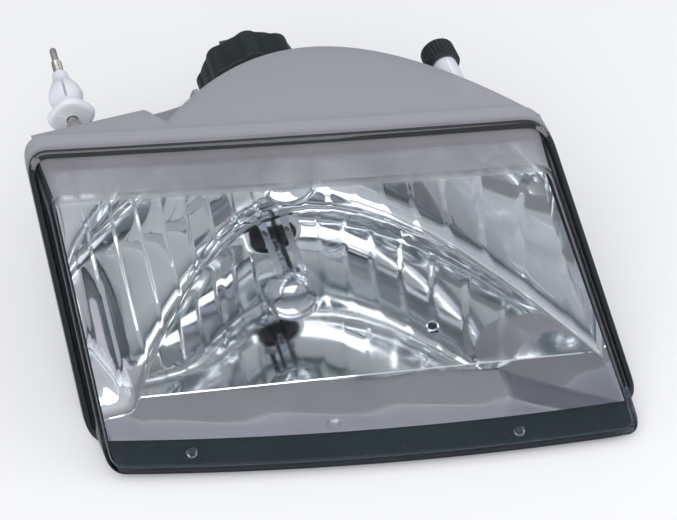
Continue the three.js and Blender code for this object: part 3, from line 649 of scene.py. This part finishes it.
def floor_eyelet(x, y, sides=32):
    """The small drain hole in the reflector's floor: a low raised rim round a closed middle that carries
    painted shade, given black in place of the dark inside of the hole.
    """
    profile = [
        [0.01, 0.1], [DRAIN_RADIUS * 0.62, 0.1], [DRAIN_RADIUS * 0.68, 0.7],
        [DRAIN_RADIUS * 0.84, 0.9], [DRAIN_RADIUS, 0.6], [DRAIN_RADIUS, -0.2], [0.01, -0.2],
    ]
    verts = []
    for r, up in profile:
        for i in range(sides):
            a = math.tau * i / sides
            verts.append((x + r * math.cos(a), y + r * math.sin(a), up - BOWL_HALF_HEIGHT))
    return verts, grid_faces(len(profile), sides, wrap_columns=True)


def build_reflector():
    bowl, ends = bowl_shell(
        flute_columns(), BOWL_HALF_HEIGHT, BOWL_INSET, fluted_y, reflector_front, 11.0, crease_y
    )
    lip = [(-1.2, -4.5), (2.6, -4.5), (3.2, -1), (2.2, 1), (-0.2, 1)]
    lip = turned([[EYE_RADIUS + out, VERTEX_Y + back] for out, back in lip], segments=96, closed=True)
    shell = merged(cut_eye(*bowl), *ends, lip, floor_eyelet(*DRAIN_AT))
    obj = piece("reflector_shell", shell, [MIRROR, BLACK], "reflector", smooth=25)
    # Painted shade: the drain's closed middle gets black plastic in place of the dark inside of the hole.
    for polygon in obj.data.polygons:
        x, y, z = (np.array(polygon.center) - AT) / MM
        in_painted_hole_shade = math.hypot(x - DRAIN_AT[0], y - DRAIN_AT[1]) < DRAIN_RADIUS * 0.7
        if in_painted_hole_shade and abs(z + BOWL_HALF_HEIGHT) < 0.25 and abs(polygon.normal.z) > 0.9:
            polygon.material_index = 1


# ---------- the housing ----------
def welded(verts, faces):
    """The faces with points that share a place joined into one, and collapsed faces left out."""
    keys = {}
    stand_in = []
    for i, point in enumerate(np.round(np.asarray(verts, float), 4)):
        stand_in.append(keys.setdefault(tuple(point), i))
    fresh = []
    for face in faces:
        ring = [stand_in[i] for i in face]
        ring = [i for k, i in enumerate(ring) if i != ring[k - 1]]
        if len(set(ring)) > 2:
            fresh.append(tuple(ring))
    return fresh


def double_wall(outer, inner):
    """Two sheets with the same layout, joined round their open edges into one closed wall."""
    faces = welded(*outer)
    used = {}
    for face in faces:
        for a, b in zip(face, face[1:] + face[:1]):
            used.setdefault(frozenset((a, b)), []).append((a, b))
    count = len(outer[0])
    back = [tuple(i + count for i in reversed(face)) for face in faces]
    seams = [(b, a, a + count, b + count) for edges in used.values() if len(edges) == 1 for a, b in edges]
    return list(outer[0]) + list(inner[0]), faces + back + seams


def bowl_sheet(half_height, inset, push, front_depth, fillet):
    """One skin of the housing: the reflector's bowl pushed back, with its end walls."""
    def back(x, z):
        return reflector_y(x, z, 6.0) + push

    def front(x, z):
        return rake_y(x, z) + front_depth

    surface, ends = bowl_shell(np.linspace(0, 1, 90), half_height, inset, back, front, fillet)
    return merged(surface, *ends)


def without_holes(sheet, holes):
    """Leaves out the sheet's faces that reach into any (x, z, radius) hole through its back."""
    verts, faces = sheet
    points = np.asarray(verts, float)
    behind = points[:, 1] > rake_y(points[:, 0], points[:, 2]) + FRAME_DEPTH
    inside = np.zeros(len(points), bool)
    for x, z, radius in holes:
        inside |= behind & (np.hypot(points[:, 0] - x, points[:, 2] - z) < radius)
    return verts, [face for face in faces if not any(inside[list(face)])]


def roof_back_y(x):
    """The roof's rear edge: an arch, with a short ramp down to the outboard wing."""
    arch_x = max(x, WING_INNER_X)
    arch = ROOF_CREST_Y - (arch_x - ROOF_CREST_X) ** 2 / (4 * ROOF_FOCUS)
    share = min(max((x - WING_INNER_X + 10) / 10, 0), 1)
    return lerp(WING_EDGE_Y, arch, share)


def roof_plate(columns=150):
    """The flat roof with a rounded rear edge."""
    z0, z1 = ROOF_Z - HOUSING_WALL, ROOF_Z
    left, right = left_edge(z0) + FRAME_WIDTH - 2, right_edge(z0) - 2
    verts = []
    for k in range(columns + 1):
        x = lerp(left, right, k / columns)
        front, back = rake_y(x, z0) + FRAME_DEPTH - 1, roof_back_y(x)
        line = [(front, z0), (back - 0.9, z0), (back - 0.25, z0 + 0.3), (back, z0 + 1)]
        line += [(back, z1 - 1), (back - 0.3, z1 - 0.3), (back - 1, z1), (front, z1)]
        verts.extend((x, y, z) for y, z in line)
    return verts, capped_faces(columns + 1, len(line))


def slab(x, outline, thick=2.4):
    """The points and edge faces of an upright plate from a (y, z) outline."""
    count = len(outline)
    verts = [(x + side, y, z) for side in (-thick / 2, thick / 2) for y, z in outline]
    return verts, [(i, (i + 1) % count, (i + 1) % count + count, i + count) for i in range(count)]


def back_rib(x, steps=24):
    """An upright web across the back of the bowl, from the floor to the roof."""
    top = ROOF_Z - 1
    outline = []
    for end, depth in ((top, HOUSING_GAP + HOUSING_WALL + 9), (-top, 4)):
        for i in range(steps + 1):
            z = lerp(-end, end, i / steps)
            outline.append((float(bowl_y(x, z)) + depth, z))
    verts, faces = slab(x, outline)
    count = len(outline)
    for start in (0, count):
        for i in range(start, start + steps):
            across = 2 * start + count - 1 - i
            faces.append((i, i + 1, across - 1, across))
    return verts, faces


def boss_part(radius, bore, y0, y1, x, z, foot=2.5):
    """A round boss with a bored end; its flared foot stops on the housing's own back."""
    profile = [
        [bore, y0], [radius + foot, y0], [radius + foot * 0.4, y0 + foot], [radius, y0 + 2.5 * foot],
        [radius, y1 - 0.8], [radius - 0.8, y1], [bore, y1],
    ]
    verts, faces = turned(profile, x, z, 48, 0.8, closed=True)
    verts = np.array(verts, float)
    seat = reflector_y(verts[:, 0], verts[:, 2]) + BOWL_WALL + HOUSING_GAP + 0.9
    verts[:, 1] = np.maximum(verts[:, 1], np.minimum(seat, y1 - 1.5))
    return verts, faces


def gusset(x):
    """A plate that stiffens the wing behind the outboard adjuster."""
    verts, faces = slab(x, [(85.3, 40), (101, 60.5), (103, 62.5), (103, 40)])
    return verts, [*faces, (3, 2, 1, 0), (4, 5, 6, 7)]


def build_housing():
    rim = ring_from_profile([
        (0, FRAME_DEPTH - 1), (0, 1.4), (1, 0.3), (GROOVE_OUTER, 0.3), (GROOVE_OUTER, GROOVE_DEPTH),
        (GROOVE_INNER, GROOVE_DEPTH), (GROOVE_INNER, 0.5), (FRAME_WIDTH - 0.6, 0.5), (FRAME_WIDTH, 1.6),
        (FRAME_WIDTH, FRAME_DEPTH), (4, FRAME_DEPTH), (3.2, FRAME_DEPTH - 2.2), (1.2, FRAME_DEPTH - 2.2),
    ], 0.8)
    push = BOWL_WALL + HOUSING_GAP
    outer = bowl_sheet(ROOF_Z - 0.4, FRAME_WIDTH - HOUSING_WALL, push + HOUSING_WALL, FRAME_DEPTH - 4, 7.0)
    inner = bowl_sheet(ROOF_Z - HOUSING_WALL - 0.4, FRAME_WIDTH, push, FRAME_DEPTH - 5, 6.0)
    outboard = node_axis("outboard_adjuster_screw")
    holes = [(BULB_X, BULB_Z, 22.5), (*outboard, 4.8)]
    collar = [
        [19.2, VERTEX_Y + 1.7], [31.5, VERTEX_Y - 0.4], [29.5, VERTEX_Y + 5],
        [COLLAR_RADIUS + 1, VERTEX_Y + 9], [COLLAR_RADIUS, VERTEX_Y + 12], [COLLAR_RADIUS, COLLAR_END_Y],
        [20.3, COLLAR_END_Y], [20.3, COLLAR_END_Y - 6], [19.2, COLLAR_END_Y - 6],
    ]
    parts = [
        rim,
        double_wall(without_holes(outer, holes), inner),
        roof_plate(),
        back_rib(-46.8),
        back_rib(53.2),
        turned(collar, segments=96, closed=True, radius=0.8),
        boss_part(9, 3.9, 88, BOSS_FACE_Y, *outboard, 1.2),
        boss_part(11, 6.6, 36, BOSS_END_Y, *node_axis("inboard_adjuster_knob")),
        boss_part(11, 5.6, 26, BOSS_END_Y, *node_axis("pivot_socket")),
        boss_part(8, 5, 118, 144, *node_axis("vent_cap"), 1.0),
        gusset(-136),
        gusset(-112),
    ]
    piece("housing_shell", merged(*parts), GREY, "housing", smooth=32)


# ---------- shield and bulb ----------
def build_shield():
    """A pressed bright cup on two legs, with a foot riveted to the reflector."""
    bore = SHIELD_RADIUS - SHIELD_SHEET
    outside = arc(SHIELD_RADIUS, SHIELD_Y, 0, 90, 14, SHIELD_DEPTH)
    inside = arc(bore, SHIELD_Y, 0, 90, 14, SHIELD_DEPTH - SHIELD_SHEET)
    edge = [[SHIELD_RADIUS, SHIELD_Y + 8.5], [SHIELD_RADIUS - 0.4, SHIELD_Y + 9], [bore, SHIELD_Y + 8.5]]
    parts = [turned(outside + edge + inside[::-1], segments=96, radius=0)]
    top = BULB_Z - SHIELD_RADIUS + 2.2
    for x in (-6, 10):
        parts.append(block(x, 2.5, SHIELD_Y + 2, 134.6, top - 0.6, 0.6))
    parts.append(block(BULB_X, 12, 134, 135, (top - 29.5) / 2, (top + 29.5) / 2))
    bevel(piece("glare_shield_cup", merged(*parts), CHROME, "glare_shield"), 0.3)
    for number in (1, 2):
        node = f"shield_rivet_{number}"
        front, back = node_ends(node)
        profile = [
            [0, front], [1.6, front + 0.25], [2.6, front + 0.9], [3, front + 1.6], [1.4, front + 1.6],
            [1.4, back - 1.2], [2.4, back - 1.2], [2.1, back - 0.3], [0, back],
        ]
        rivet = turned(profile, *node_axis(node), 32, 0.25)
        piece(f"blind_rivet_{number}", rivet, STEEL, node)


def coil(y, z, turns=9, radius=0.72, half=2.3):
    """A wound filament across the lamp, with straight tails to its supports."""
    path = [(BULB_X - 3.6, y, z)]
    steps = turns * 12
    for i in range(steps + 1):
        a = math.tau * turns * i / steps
        x = BULB_X + lerp(-half, half, i / steps)
        path.append((x, y + radius * math.sin(a), z + radius * math.cos(a)))
    path.append((BULB_X + 3.6, y, z))
    return sweep(path, 0.16, 6)


def build_bulb():
    seat = COLLAR_END_Y + 1.6
    base = [
        [0, 146], [7.6, 146], [8.4, 146.6], [9.5, 149], [17, 154], [17, seat - 9], [14.8, seat - 9],
        [14.8, seat - 5], [19.4, seat - 5], [19.4, seat], [25, seat], [25, seat + 3], [14, seat + 3],
        [13, seat + 5], [12, seat + 16], [0, seat + 16],
    ]
    base = turned(base, segments=96, radius=0.6)
    obj = piece("bulb_base_moulding", base, BLACK, "bulb_base", "bulb", 35)
    plug = block(BULB_X, 13, seat + 9, seat + 32, BULB_Z, 8.5)
    latch = block(BULB_X, 4, seat + 14, seat + 30, BULB_Z + 9.25, 1.25)
    carve(obj, [plug, latch], "UNION")
    mouth = block(BULB_X, 11, seat + 17, seat + 34, BULB_Z, 6.5)
    glass_seat = turned([[0, 144], [6.35, 144], [6.35, 153], [0, 153]], segments=48, radius=0)
    blade_x = (-5, 2, 9)
    slots = [block(x, 2.2, seat + 14.9, seat + 18, BULB_Z, 0.75) for x in blade_x]
    carve(obj, [mouth, glass_seat, *slots])
    bevel(obj, 0.5, 3, 50)
    outside, inside = (arc(radius, GLASS_TIP_Y + 6, 0, 90, 12) for radius in (6, 5.1))
    glass = turned(outside + [[6, 152.4], [5.1, 152.4]] + inside[::-1], segments=48, radius=0)
    piece("bulb_envelope", glass, QUARTZ, "bulb_glass", "bulb", 50)
    wires = [block(BULB_X, 3.6, 138, 150, BULB_Z, 1.2)]
    for side in (-1, 1):
        for tip, up in ((108, 2.2), (117, -2.2)):
            bends = [(1.8, 140, 0.2), (2.6, 136, 0.6), (3.3, 131, 1), (3.6, tip + 6, 1), (3.6, tip, 1)]
            path = [(BULB_X + side * out, y, BULB_Z + up * rise) for out, y, rise in bends]
            wires.append(sweep(path, 0.35, 10))
    bevel(piece("filament_mount", merged(*wires), STEEL, "filament_supports", "bulb"), 0.2)
    for beam, y, z in (("low_beam", 109, 3.7), ("high_beam", 118, -0.7)):
        piece(f"{beam}_coil", coil(y, z), TUNGSTEN, f"{beam}_filament", "bulb", 60)
    for number, x in enumerate(blade_x, 1):
        node = f"bulb_terminal_{number}"
        blade = block(x, 1.8, *node_ends(node), BULB_Z, 0.4)
        bevel(piece(f"plug_blade_{number}", blade, BRASS, node, "bulb"), 0.3)
    turns = np.linspace(0, math.tau, 17)[:-1]
    loop = [[16.9 + 1.7 * math.cos(a), seat - 7 + 1.7 * math.sin(a)] for a in turns]
    ring = turned(loop, segments=80, radius=0, closed=True)
    piece("bulb_o_ring", ring, RUBBER, "bulb_seal_ring", "bulb", 80)


# ---------- retaining ring ----------
def build_ring():
    """A skirt with finger lobes, a flat back and a raised lip round the bore."""
    front, back = node_ends("retaining_ring")
    lip_front = COLLAR_END_Y + 6.2

    def lobed(angle, r, y):
        if r < RING_OUTER - 3:
            return r
        step = math.tau / RING_LOBES
        off = (angle + step / 2) % step - step / 2
        centre = RING_OUTER - 6
        across = centre * math.sin(off)
        bulge = 0
        if abs(across) < LOBE_RADIUS:
            bulge = centre * math.cos(off) + math.sqrt(max(LOBE_RADIUS**2 - across**2, 0))
        lobe = r - RING_OUTER + bulge
        return max(r - 0.4, lobe) + 0.3 * math.exp(-((lobe - r + 0.4) ** 2))
    profile = [
        [27.7, front], [RING_OUTER - 0.2, front], [RING_OUTER, front + 2], [RING_OUTER, back - 2.5],
        [RING_OUTER - 1, back - 0.8], [RING_OUTER - 2.6, back], [23, back], [22, back - 1.2],
        [19.4, back - 1.2], [19, back], [17.5, back - 0.4], [17.5, lip_front], [27.7, lip_front],
    ]
    ring = turned(profile, segments=256, radius=0.7, closed=True, swell=lobed)
    piece("retaining_ring_moulding", ring, BLACK, "retaining_ring", "ring")


# ---------- adjusters and pivot ----------
def build_outboard_adjuster():
    x, z = node_axis("outboard_adjuster_screw")
    face = BOSS_FACE_Y
    shank = [
        [0, face - 14], [2.9, face - 14], [3.2, face - 13],
        [3.2, face + 51], [2.6, face + 51.5], [0, face + 51.5],
    ]
    tip = [[0, face + 66], [2.1, face + 66.4], [2.1, face + 76.6], [1.4, face + 78], [0, face + 78]]
    screw = merged(
        turned(shank, x, z, 48, 0.3),
        threaded(3.2, 2.6, 1.5, face + 51, face + 66.5, x, z),
        turned(tip, x, z, 32, 0.4),
        hexagon(10, face + 2, face + 8, x, z),
    )
    piece("aiming_screw", screw, STEEL, "outboard_adjuster_screw", "outboard_screw", 30)
    washer = [[3.55, face + 0.35], [8, face + 0.35], [8, face + 1.6], [3.55, face + 1.6]]
    washer = turned(washer, x, z, 64, 0.3, closed=True)
    piece("aiming_washer", washer, STEEL, "outboard_adjuster_washer")
    front = face + 14

    def squared(angle, r, y):
        """The collar is a soft square; above it the body stays round."""
        if r < 11 or y > front + 8:
            return r
        return r * (1 - 0.045 * (1 - math.cos(4 * angle)))

    nut = [
        (3.65, 0), (11.5, 0), (13.6, 0.8), (14.5, 2.6), (14.4, 4.6), (12.8, 6.6), (10.2, 8.2), (9, 10.4),
        (8.9, 14), (10.2, 17.5), (10.6, 20), (9.8, 24.5), (7.4, 29.5), (5.4, 34), (4.8, 40), (3.65, 40),
    ]
    nut = turned([[r, front + y] for r, y in nut], x, z, 96, 1.4, closed=True, swell=squared)
    obj = piece("aiming_nut", nut, NYLON, "outboard_adjuster_nut", "outboard_nut")
    slits = []
    for dx, dz in ((1, 0), (-1, 0), (0, 1), (0, -1)):
        half_x, half_z = (4, 0.8) if dx else (0.8, 4)
        slits.append(block(x + dx * 10.4, half_x, front + 12, front + 29, z + dz * 10.4, half_z))
    carve(obj, slits)
    bevel(obj, 0.25, 2, 50)


def build_inboard_adjuster():
    x, z = node_axis("inboard_adjuster_knob")
    front, back = node_ends("inboard_adjuster_sleeve")
    shoulder = BOSS_END_Y + 0.35
    sleeve = [
        [4.2, front], [6, front], [6, shoulder], [8.8, shoulder], [8.8, shoulder + 2.6],
        [7.8, shoulder + 3.6], [7.8, back - 6], [7.4, back - 5.6], [7.4, back - 4.4], [7.8, back - 4],
        [7.8, back], [4.2, back],
    ]
    sleeve = turned(sleeve, x, z, 64, 0.35, closed=True)
    ribs = [block(x, 0.6, shoulder + 3, back - 8, z + up, 0.55) for up in (7.75, -7.75)]
    piece("height_sleeve", merged(sleeve, *ribs), NYLON, "inboard_adjuster_sleeve")
    front, back = node_ends("inboard_adjuster_knob")

    def gripped(angle, r, y):
        if r < 9.5 or not front + 3.2 < y < back - 0.9:
            return r
        return r - 0.55 * max(0, math.cos(24 * angle)) ** 3

    knob = [
        [8.15, front], [10.3, front], [11, front + 1], [11, front + 3], [11, front + 3.4], [11, back - 1.8],
        [10.6, back - 0.8], [9.4, back], [3.35, back], [3.35, back - 7], [8.15, back - 7],
    ]
    knob = turned(knob, x, z, 192, 0.5, closed=True, swell=gripped)
    piece("height_knob", knob, BLACK, "inboard_adjuster_knob", "inboard_knob")
    foot, tip = node_ends("inboard_adjuster_stud")
    neck = foot + 9.5
    stud = merged(
        turned([[0, foot], [3.85, foot], [3.85, neck - 1.5], [2.6, neck], [0, neck]], x, z, 40, 0.3),
        threaded(3, 2.5, 1.5, foot + 9, tip - 1.4, x, z),
        turned([[0, tip - 1.6], [2.5, tip - 1.6], [2, tip], [0, tip]], x, z, 32, 0.2),
    )
    piece("height_stud", stud, STEEL, "inboard_adjuster_stud", "inboard_stud", 30)


def build_pivot():
    x, z = node_axis("pivot_socket")
    ball_y, end, bore = 80.0, 112.0, 5.25
    front, shoulder = BOSS_END_Y - 8, BOSS_END_Y + 0.35
    socket = [
        [0, front], [5, front], [5, shoulder], [11, shoulder], [11, ball_y - 2.5], [10.2, ball_y],
        [8.4, 83.4], [4.4, 83.4], *arc(bore, ball_y, 12, 125, 13)[::-1], [0, ball_y - bore],
    ]
    socket = turned(socket, x, z, 64, 0.4)
    piece("ball_socket", socket, NYLON, "pivot_socket")
    neck = ball_y + 11
    stud = merged(
        turned([*arc(4.9, ball_y, 0, 150, 15), [2.4, neck - 2], [3.2, neck], [0, neck]], x, z, 48, 0),
        hexagon(13, neck, neck + 4, x, z),
        threaded(3.4, 2.8, 1.25, neck + 3.5, end - 1, x, z),
        turned([[0, end - 1.2], [2.8, end - 1.2], [2.5, end], [0, end]], x, z, 32, 0.15),
    )
    piece("ball_stud", stud, STEEL, "pivot_ball_stud", "pivot_stud", 30)


def build_vent():
    x, z = node_axis("vent_cap")
    front, back = node_ends("vent_cap")
    cap = [
        [8.35, front], [10.35, front], [10.35, front + 2.4], [9.9, front + 3], [9.9, front + 4.2],
        [10.35, front + 4.8], [10.35, back - 5], [6.4, back], [0, back], [0, back - 5], [8.35, back - 5],
    ]
    cap = turned(cap, x, z, 64, 0.6, closed=True)
    piece("vent_boot", cap, RUBBER, "vent_cap")


# ---------- lens, seal and trim ----------
def lens_outline(inset, depth):
    """A line round the lens's walls, which draw in towards the face."""
    outline = frame_outline(inset)
    share = (LENS_FOOT - depth) / (LENS_FOOT + LENS_DEPTH)
    x, z = outline[:, 0], outline[:, 1]
    side = np.clip((x - left_edge(z)) / (right_edge(z) - left_edge(z)), 0, 1)
    x = x + share * lerp(DRAFT_LEFT, -DRAFT_RIGHT, side)
    z = z + share * lerp(DRAFT_BOTTOM, -DRAFT_TOP, height_share(z))
    return np.stack([x, rake_y(x, z) + depth, z], axis=1)


def lens_skin(inset, face_depth, corner):
    """One skin of the tray, from its foot up the walls, round the front edge and across the face."""
    loops = [lens_outline(inset, depth) for depth in np.linspace(LENS_FOOT, face_depth + corner, 9)]
    for k in range(1, 7):
        a = k / 6 * math.pi / 2
        drawn_in, risen = corner * (1 - math.cos(a)), corner * (1 - math.sin(a))
        loops.append(lens_outline(inset + drawn_in, face_depth + risen))
    rim = loops[-1]
    middle_x = lerp(left_edge(0), right_edge(0), 0.5)
    depth = (rim[:, 1] - rake_y(rim[:, 0], rim[:, 2])).mean()
    for share in (0.97, *np.linspace(0.9, 0, 10)):
        x, z = lerp(middle_x, rim[:, 0], share), lerp(0, rim[:, 2], share)
        loops.append(np.stack([x, rake_y(x, z) + depth, z], axis=1))
    return loops


def aiming_nib(x, z, size):
    y = rake_y(x, z) - LENS_DEPTH
    profile = [
        [0, y - 3.0], [2.6 * size, y - 2.7], [3.4 * size, y - 1.2], [3.7 * size, y + 1.4], [0, y + 1.4],
    ]
    return turned(profile, x, z, 32, 0.6)


def lens_surface(centre, normal):
    """Which of the lens's materials a face gets: 0 clear, 1 frosted, 2 dark edge, 3 skirt."""
    x, y, z = (np.array(centre) - AT) / MM
    depth = y - rake_y(x, z)
    off_edge = min(x - left_edge(z), right_edge(z) - x, HALF_HEIGHT - abs(z))
    foot_edge = z < -HALF_HEIGHT + 8 and abs(normal.z) > 0.2
    if (off_edge < LENS_INSET and -2.6 < depth < 0) or foot_edge:
        return 2
    if abs(normal.x) > 0.6 and depth > -LENS_DEPTH + 1:
        return 3
    return int(z > HALF_HEIGHT - 9 and -LENS_DEPTH + 2.6 < depth < 0.5 and abs(normal.z) > 0.6)


def build_lens():
    """A rounded tray: foot in the groove, drafted walls, a rounded front edge and a bowed face."""
    edge = 4.0
    outer = lens_skin(LENS_INSET, -LENS_DEPTH, edge)
    inner = lens_skin(LENS_INSET + LENS_WALL, -LENS_DEPTH + LENS_WALL, edge - LENS_WALL + 0.6)
    loops = outer[::-1] + inner
    tray = np.concatenate(loops), grid_faces(len(loops), len(loops[0]), wrap_columns=True)
    nibs = [aiming_nib(x, z, size) for x, z, size in ((2, 40, 1.45), (-103, -56, 1), (88, -57, 1))]
    cover = LENS_INSET + 0.4
    flange = [(0.3, -0.2), (0.3, -1.5), (0.9, -2.1), (cover, -2.1), (cover, -0.2)]
    shape = merged(tray, *nibs, ring_from_profile(flange, 0.4))
    surfaces = [LENS_CLEAR, FROSTED, LENS_EDGE, LENS_SKIRT]
    obj = piece("lens_tray", shape, surfaces, "lens", smooth=50)
    for polygon in obj.data.polygons:
        polygon.material_index = lens_surface(polygon.center, polygon.normal)


def build_lens_seal():
    left, right, front, back = GROOVE_OUTER + 0.4, GROOVE_INNER - 0.4, LENS_FOOT + 0.7, GROOVE_DEPTH - 0.2
    bead = ring_from_profile([(left, front), (right, front), (right, back), (left, back)], 0.5)
    piece("seal_bead", bead, SEALANT, "lens_seal")


def build_bezel(columns=60):
    """The dark strip on the lens's bottom wall."""
    floor = -HALF_HEIGHT + LENS_INSET + LENS_WALL + DRAFT_BOTTOM + 0.5
    front, back, thick = -LENS_DEPTH + LENS_WALL + 0.7, -2.2, 1.3
    section = rounded_loop([(front, 0), (front, thick), (back, thick), (back, 0)], 0.4)
    verts = []
    for k in range(columns + 1):
        for depth, up in section:
            z = floor + up
            pull = LENS_INSET + (7 if depth < -20 else 4)
            x = lerp(left_edge(z) + pull + 2, right_edge(z) - pull - 3, k / columns)
            verts.append((x, rake_y(x, z) + depth, z))
    shape = verts, capped_faces(columns + 1, len(section))
    piece("trim_strip", shape, TRIM, "lower_bezel")


build_housing()
build_reflector()
build_lens()
build_lens_seal()
build_bezel()
build_shield()
build_bulb()
build_ring()
build_outboard_adjuster()
build_inboard_adjuster()
build_pivot()
build_vent()


# ---------- floor, light and camera ----------
def set_stage():
    """A plain pale floor just under the lamp; its own reflection is kept out of the mirror."""
    span, gap = 3.0, 0.0005
    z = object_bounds()[0][2] - gap
    mesh = bpy.data.meshes.new("floor")
    corners = [(-span, -span, z), (span, -span, z), (span, span, z), (-span, span, z)]
    mesh.from_pydata(corners, [], [(0, 1, 2, 3)])
    floor = bpy.data.objects.new("floor", mesh)
    bpy.context.scene.collection.objects.link(floor)
    material, tree, shader = new_material("pale_floor")
    wire(tree, shader, Base_Color=(0.94, 0.94, 0.94), Roughness=0.9)
    mesh.materials.append(material)
    floor.visible_glossy = False


def add_light(name, offset, size, power):
    target = Vector(AT)
    data = bpy.data.lights.new(name, "AREA")
    data.shape = "RECTANGLE"
    data.size, data.size_y = size
    data.energy = power
    lamp = bpy.data.objects.new(name, data)
    lamp.location = target + Vector(offset)
    lamp.rotation_euler = (target - lamp.location).to_track_quat("-Z", "Y").to_euler()
    bpy.context.scene.collection.objects.link(lamp)


def set_world():
    """What the mirrors see: a bright sky, a dark belt at the horizon, grey below it.

    The camera itself sees plain pale grey.
    """
    world = bpy.data.worlds.new("studio")
    world.use_nodes = True
    tree = world.node_tree
    direction = add_node(tree, "TexCoord").outputs["Generated"]
    height = add_node(tree, "SeparateXYZ", Vector=direction).outputs["Z"]
    sky = add_node(tree, "ValToRGB", Fac=ramp(tree, height, 0, 1, -1, 1))
    stops = [
        (0.0, (0.52, 0.535, 0.55)), (0.36, (0.36, 0.385, 0.40)), (0.45, (0.06, 0.10, 0.11)),
        (0.51, (0.30, 0.33, 0.345)), (0.62, (0.47, 0.485, 0.51)), (1.0, (0.84, 0.845, 0.87)),
    ]
    for place, _ in stops[1:-1]:
        sky.color_ramp.elements.new(place)
    for element, (_, colour) in zip(sky.color_ramp.elements, stops):
        element.color = (*colour, 1)
    seen = add_node(tree, "LightPath").outputs["Is Camera Ray"]
    colour = colour_mix(tree, seen, sky.outputs["Color"], (0.9, 0.9, 0.9))
    wire(tree, tree.nodes["Background"], Color=colour)
    bpy.context.scene.world = world
    bpy.context.scene.view_settings.view_transform = "Standard"
    # Light goes to and fro between the bowl, its floor and its ceiling before it comes out again.
    paths = bpy.context.scene.cycles
    paths.max_bounces, paths.glossy_bounces, paths.transparent_max_bounces = 20, 14, 32


CAMERA_AZIMUTH, CAMERA_ELEVATION = math.radians(-17.9), math.radians(52.2)
CAMERA_DISTANCE = 0.8505
CAMERA_AIM = Vector(AT) + Vector((0.0090, 0.0078, 0.0079))
FOCAL_PIXELS, IMAGE_WIDTH, SENSOR_MM = 1420.4, 677, 36.0


def set_camera():
    level = math.cos(CAMERA_ELEVATION)
    away = Vector((math.sin(CAMERA_AZIMUTH) * level, -math.cos(CAMERA_AZIMUTH) * level, 0))
    away.z = math.sin(CAMERA_ELEVATION)
    data = bpy.data.cameras.new("camera")
    data.sensor_width = SENSOR_MM
    data.lens = SENSOR_MM * FOCAL_PIXELS / IMAGE_WIDTH
    data.clip_start = 0.01
    camera = bpy.data.objects.new("camera", data)
    camera.location = CAMERA_AIM + away * CAMERA_DISTANCE
    camera.rotation_euler = (-away).to_track_quat("-Z", "Y").to_euler()
    bpy.context.scene.collection.objects.link(camera)
    bpy.context.scene.camera = camera


set_stage()
set_world()
add_light("key", (-0.5, -0.7, 1.3), (1.4, 1.2), 10)
add_light("side", (1.2, -0.2, 0.6), (0.9, 1.0), 3)
set_camera()
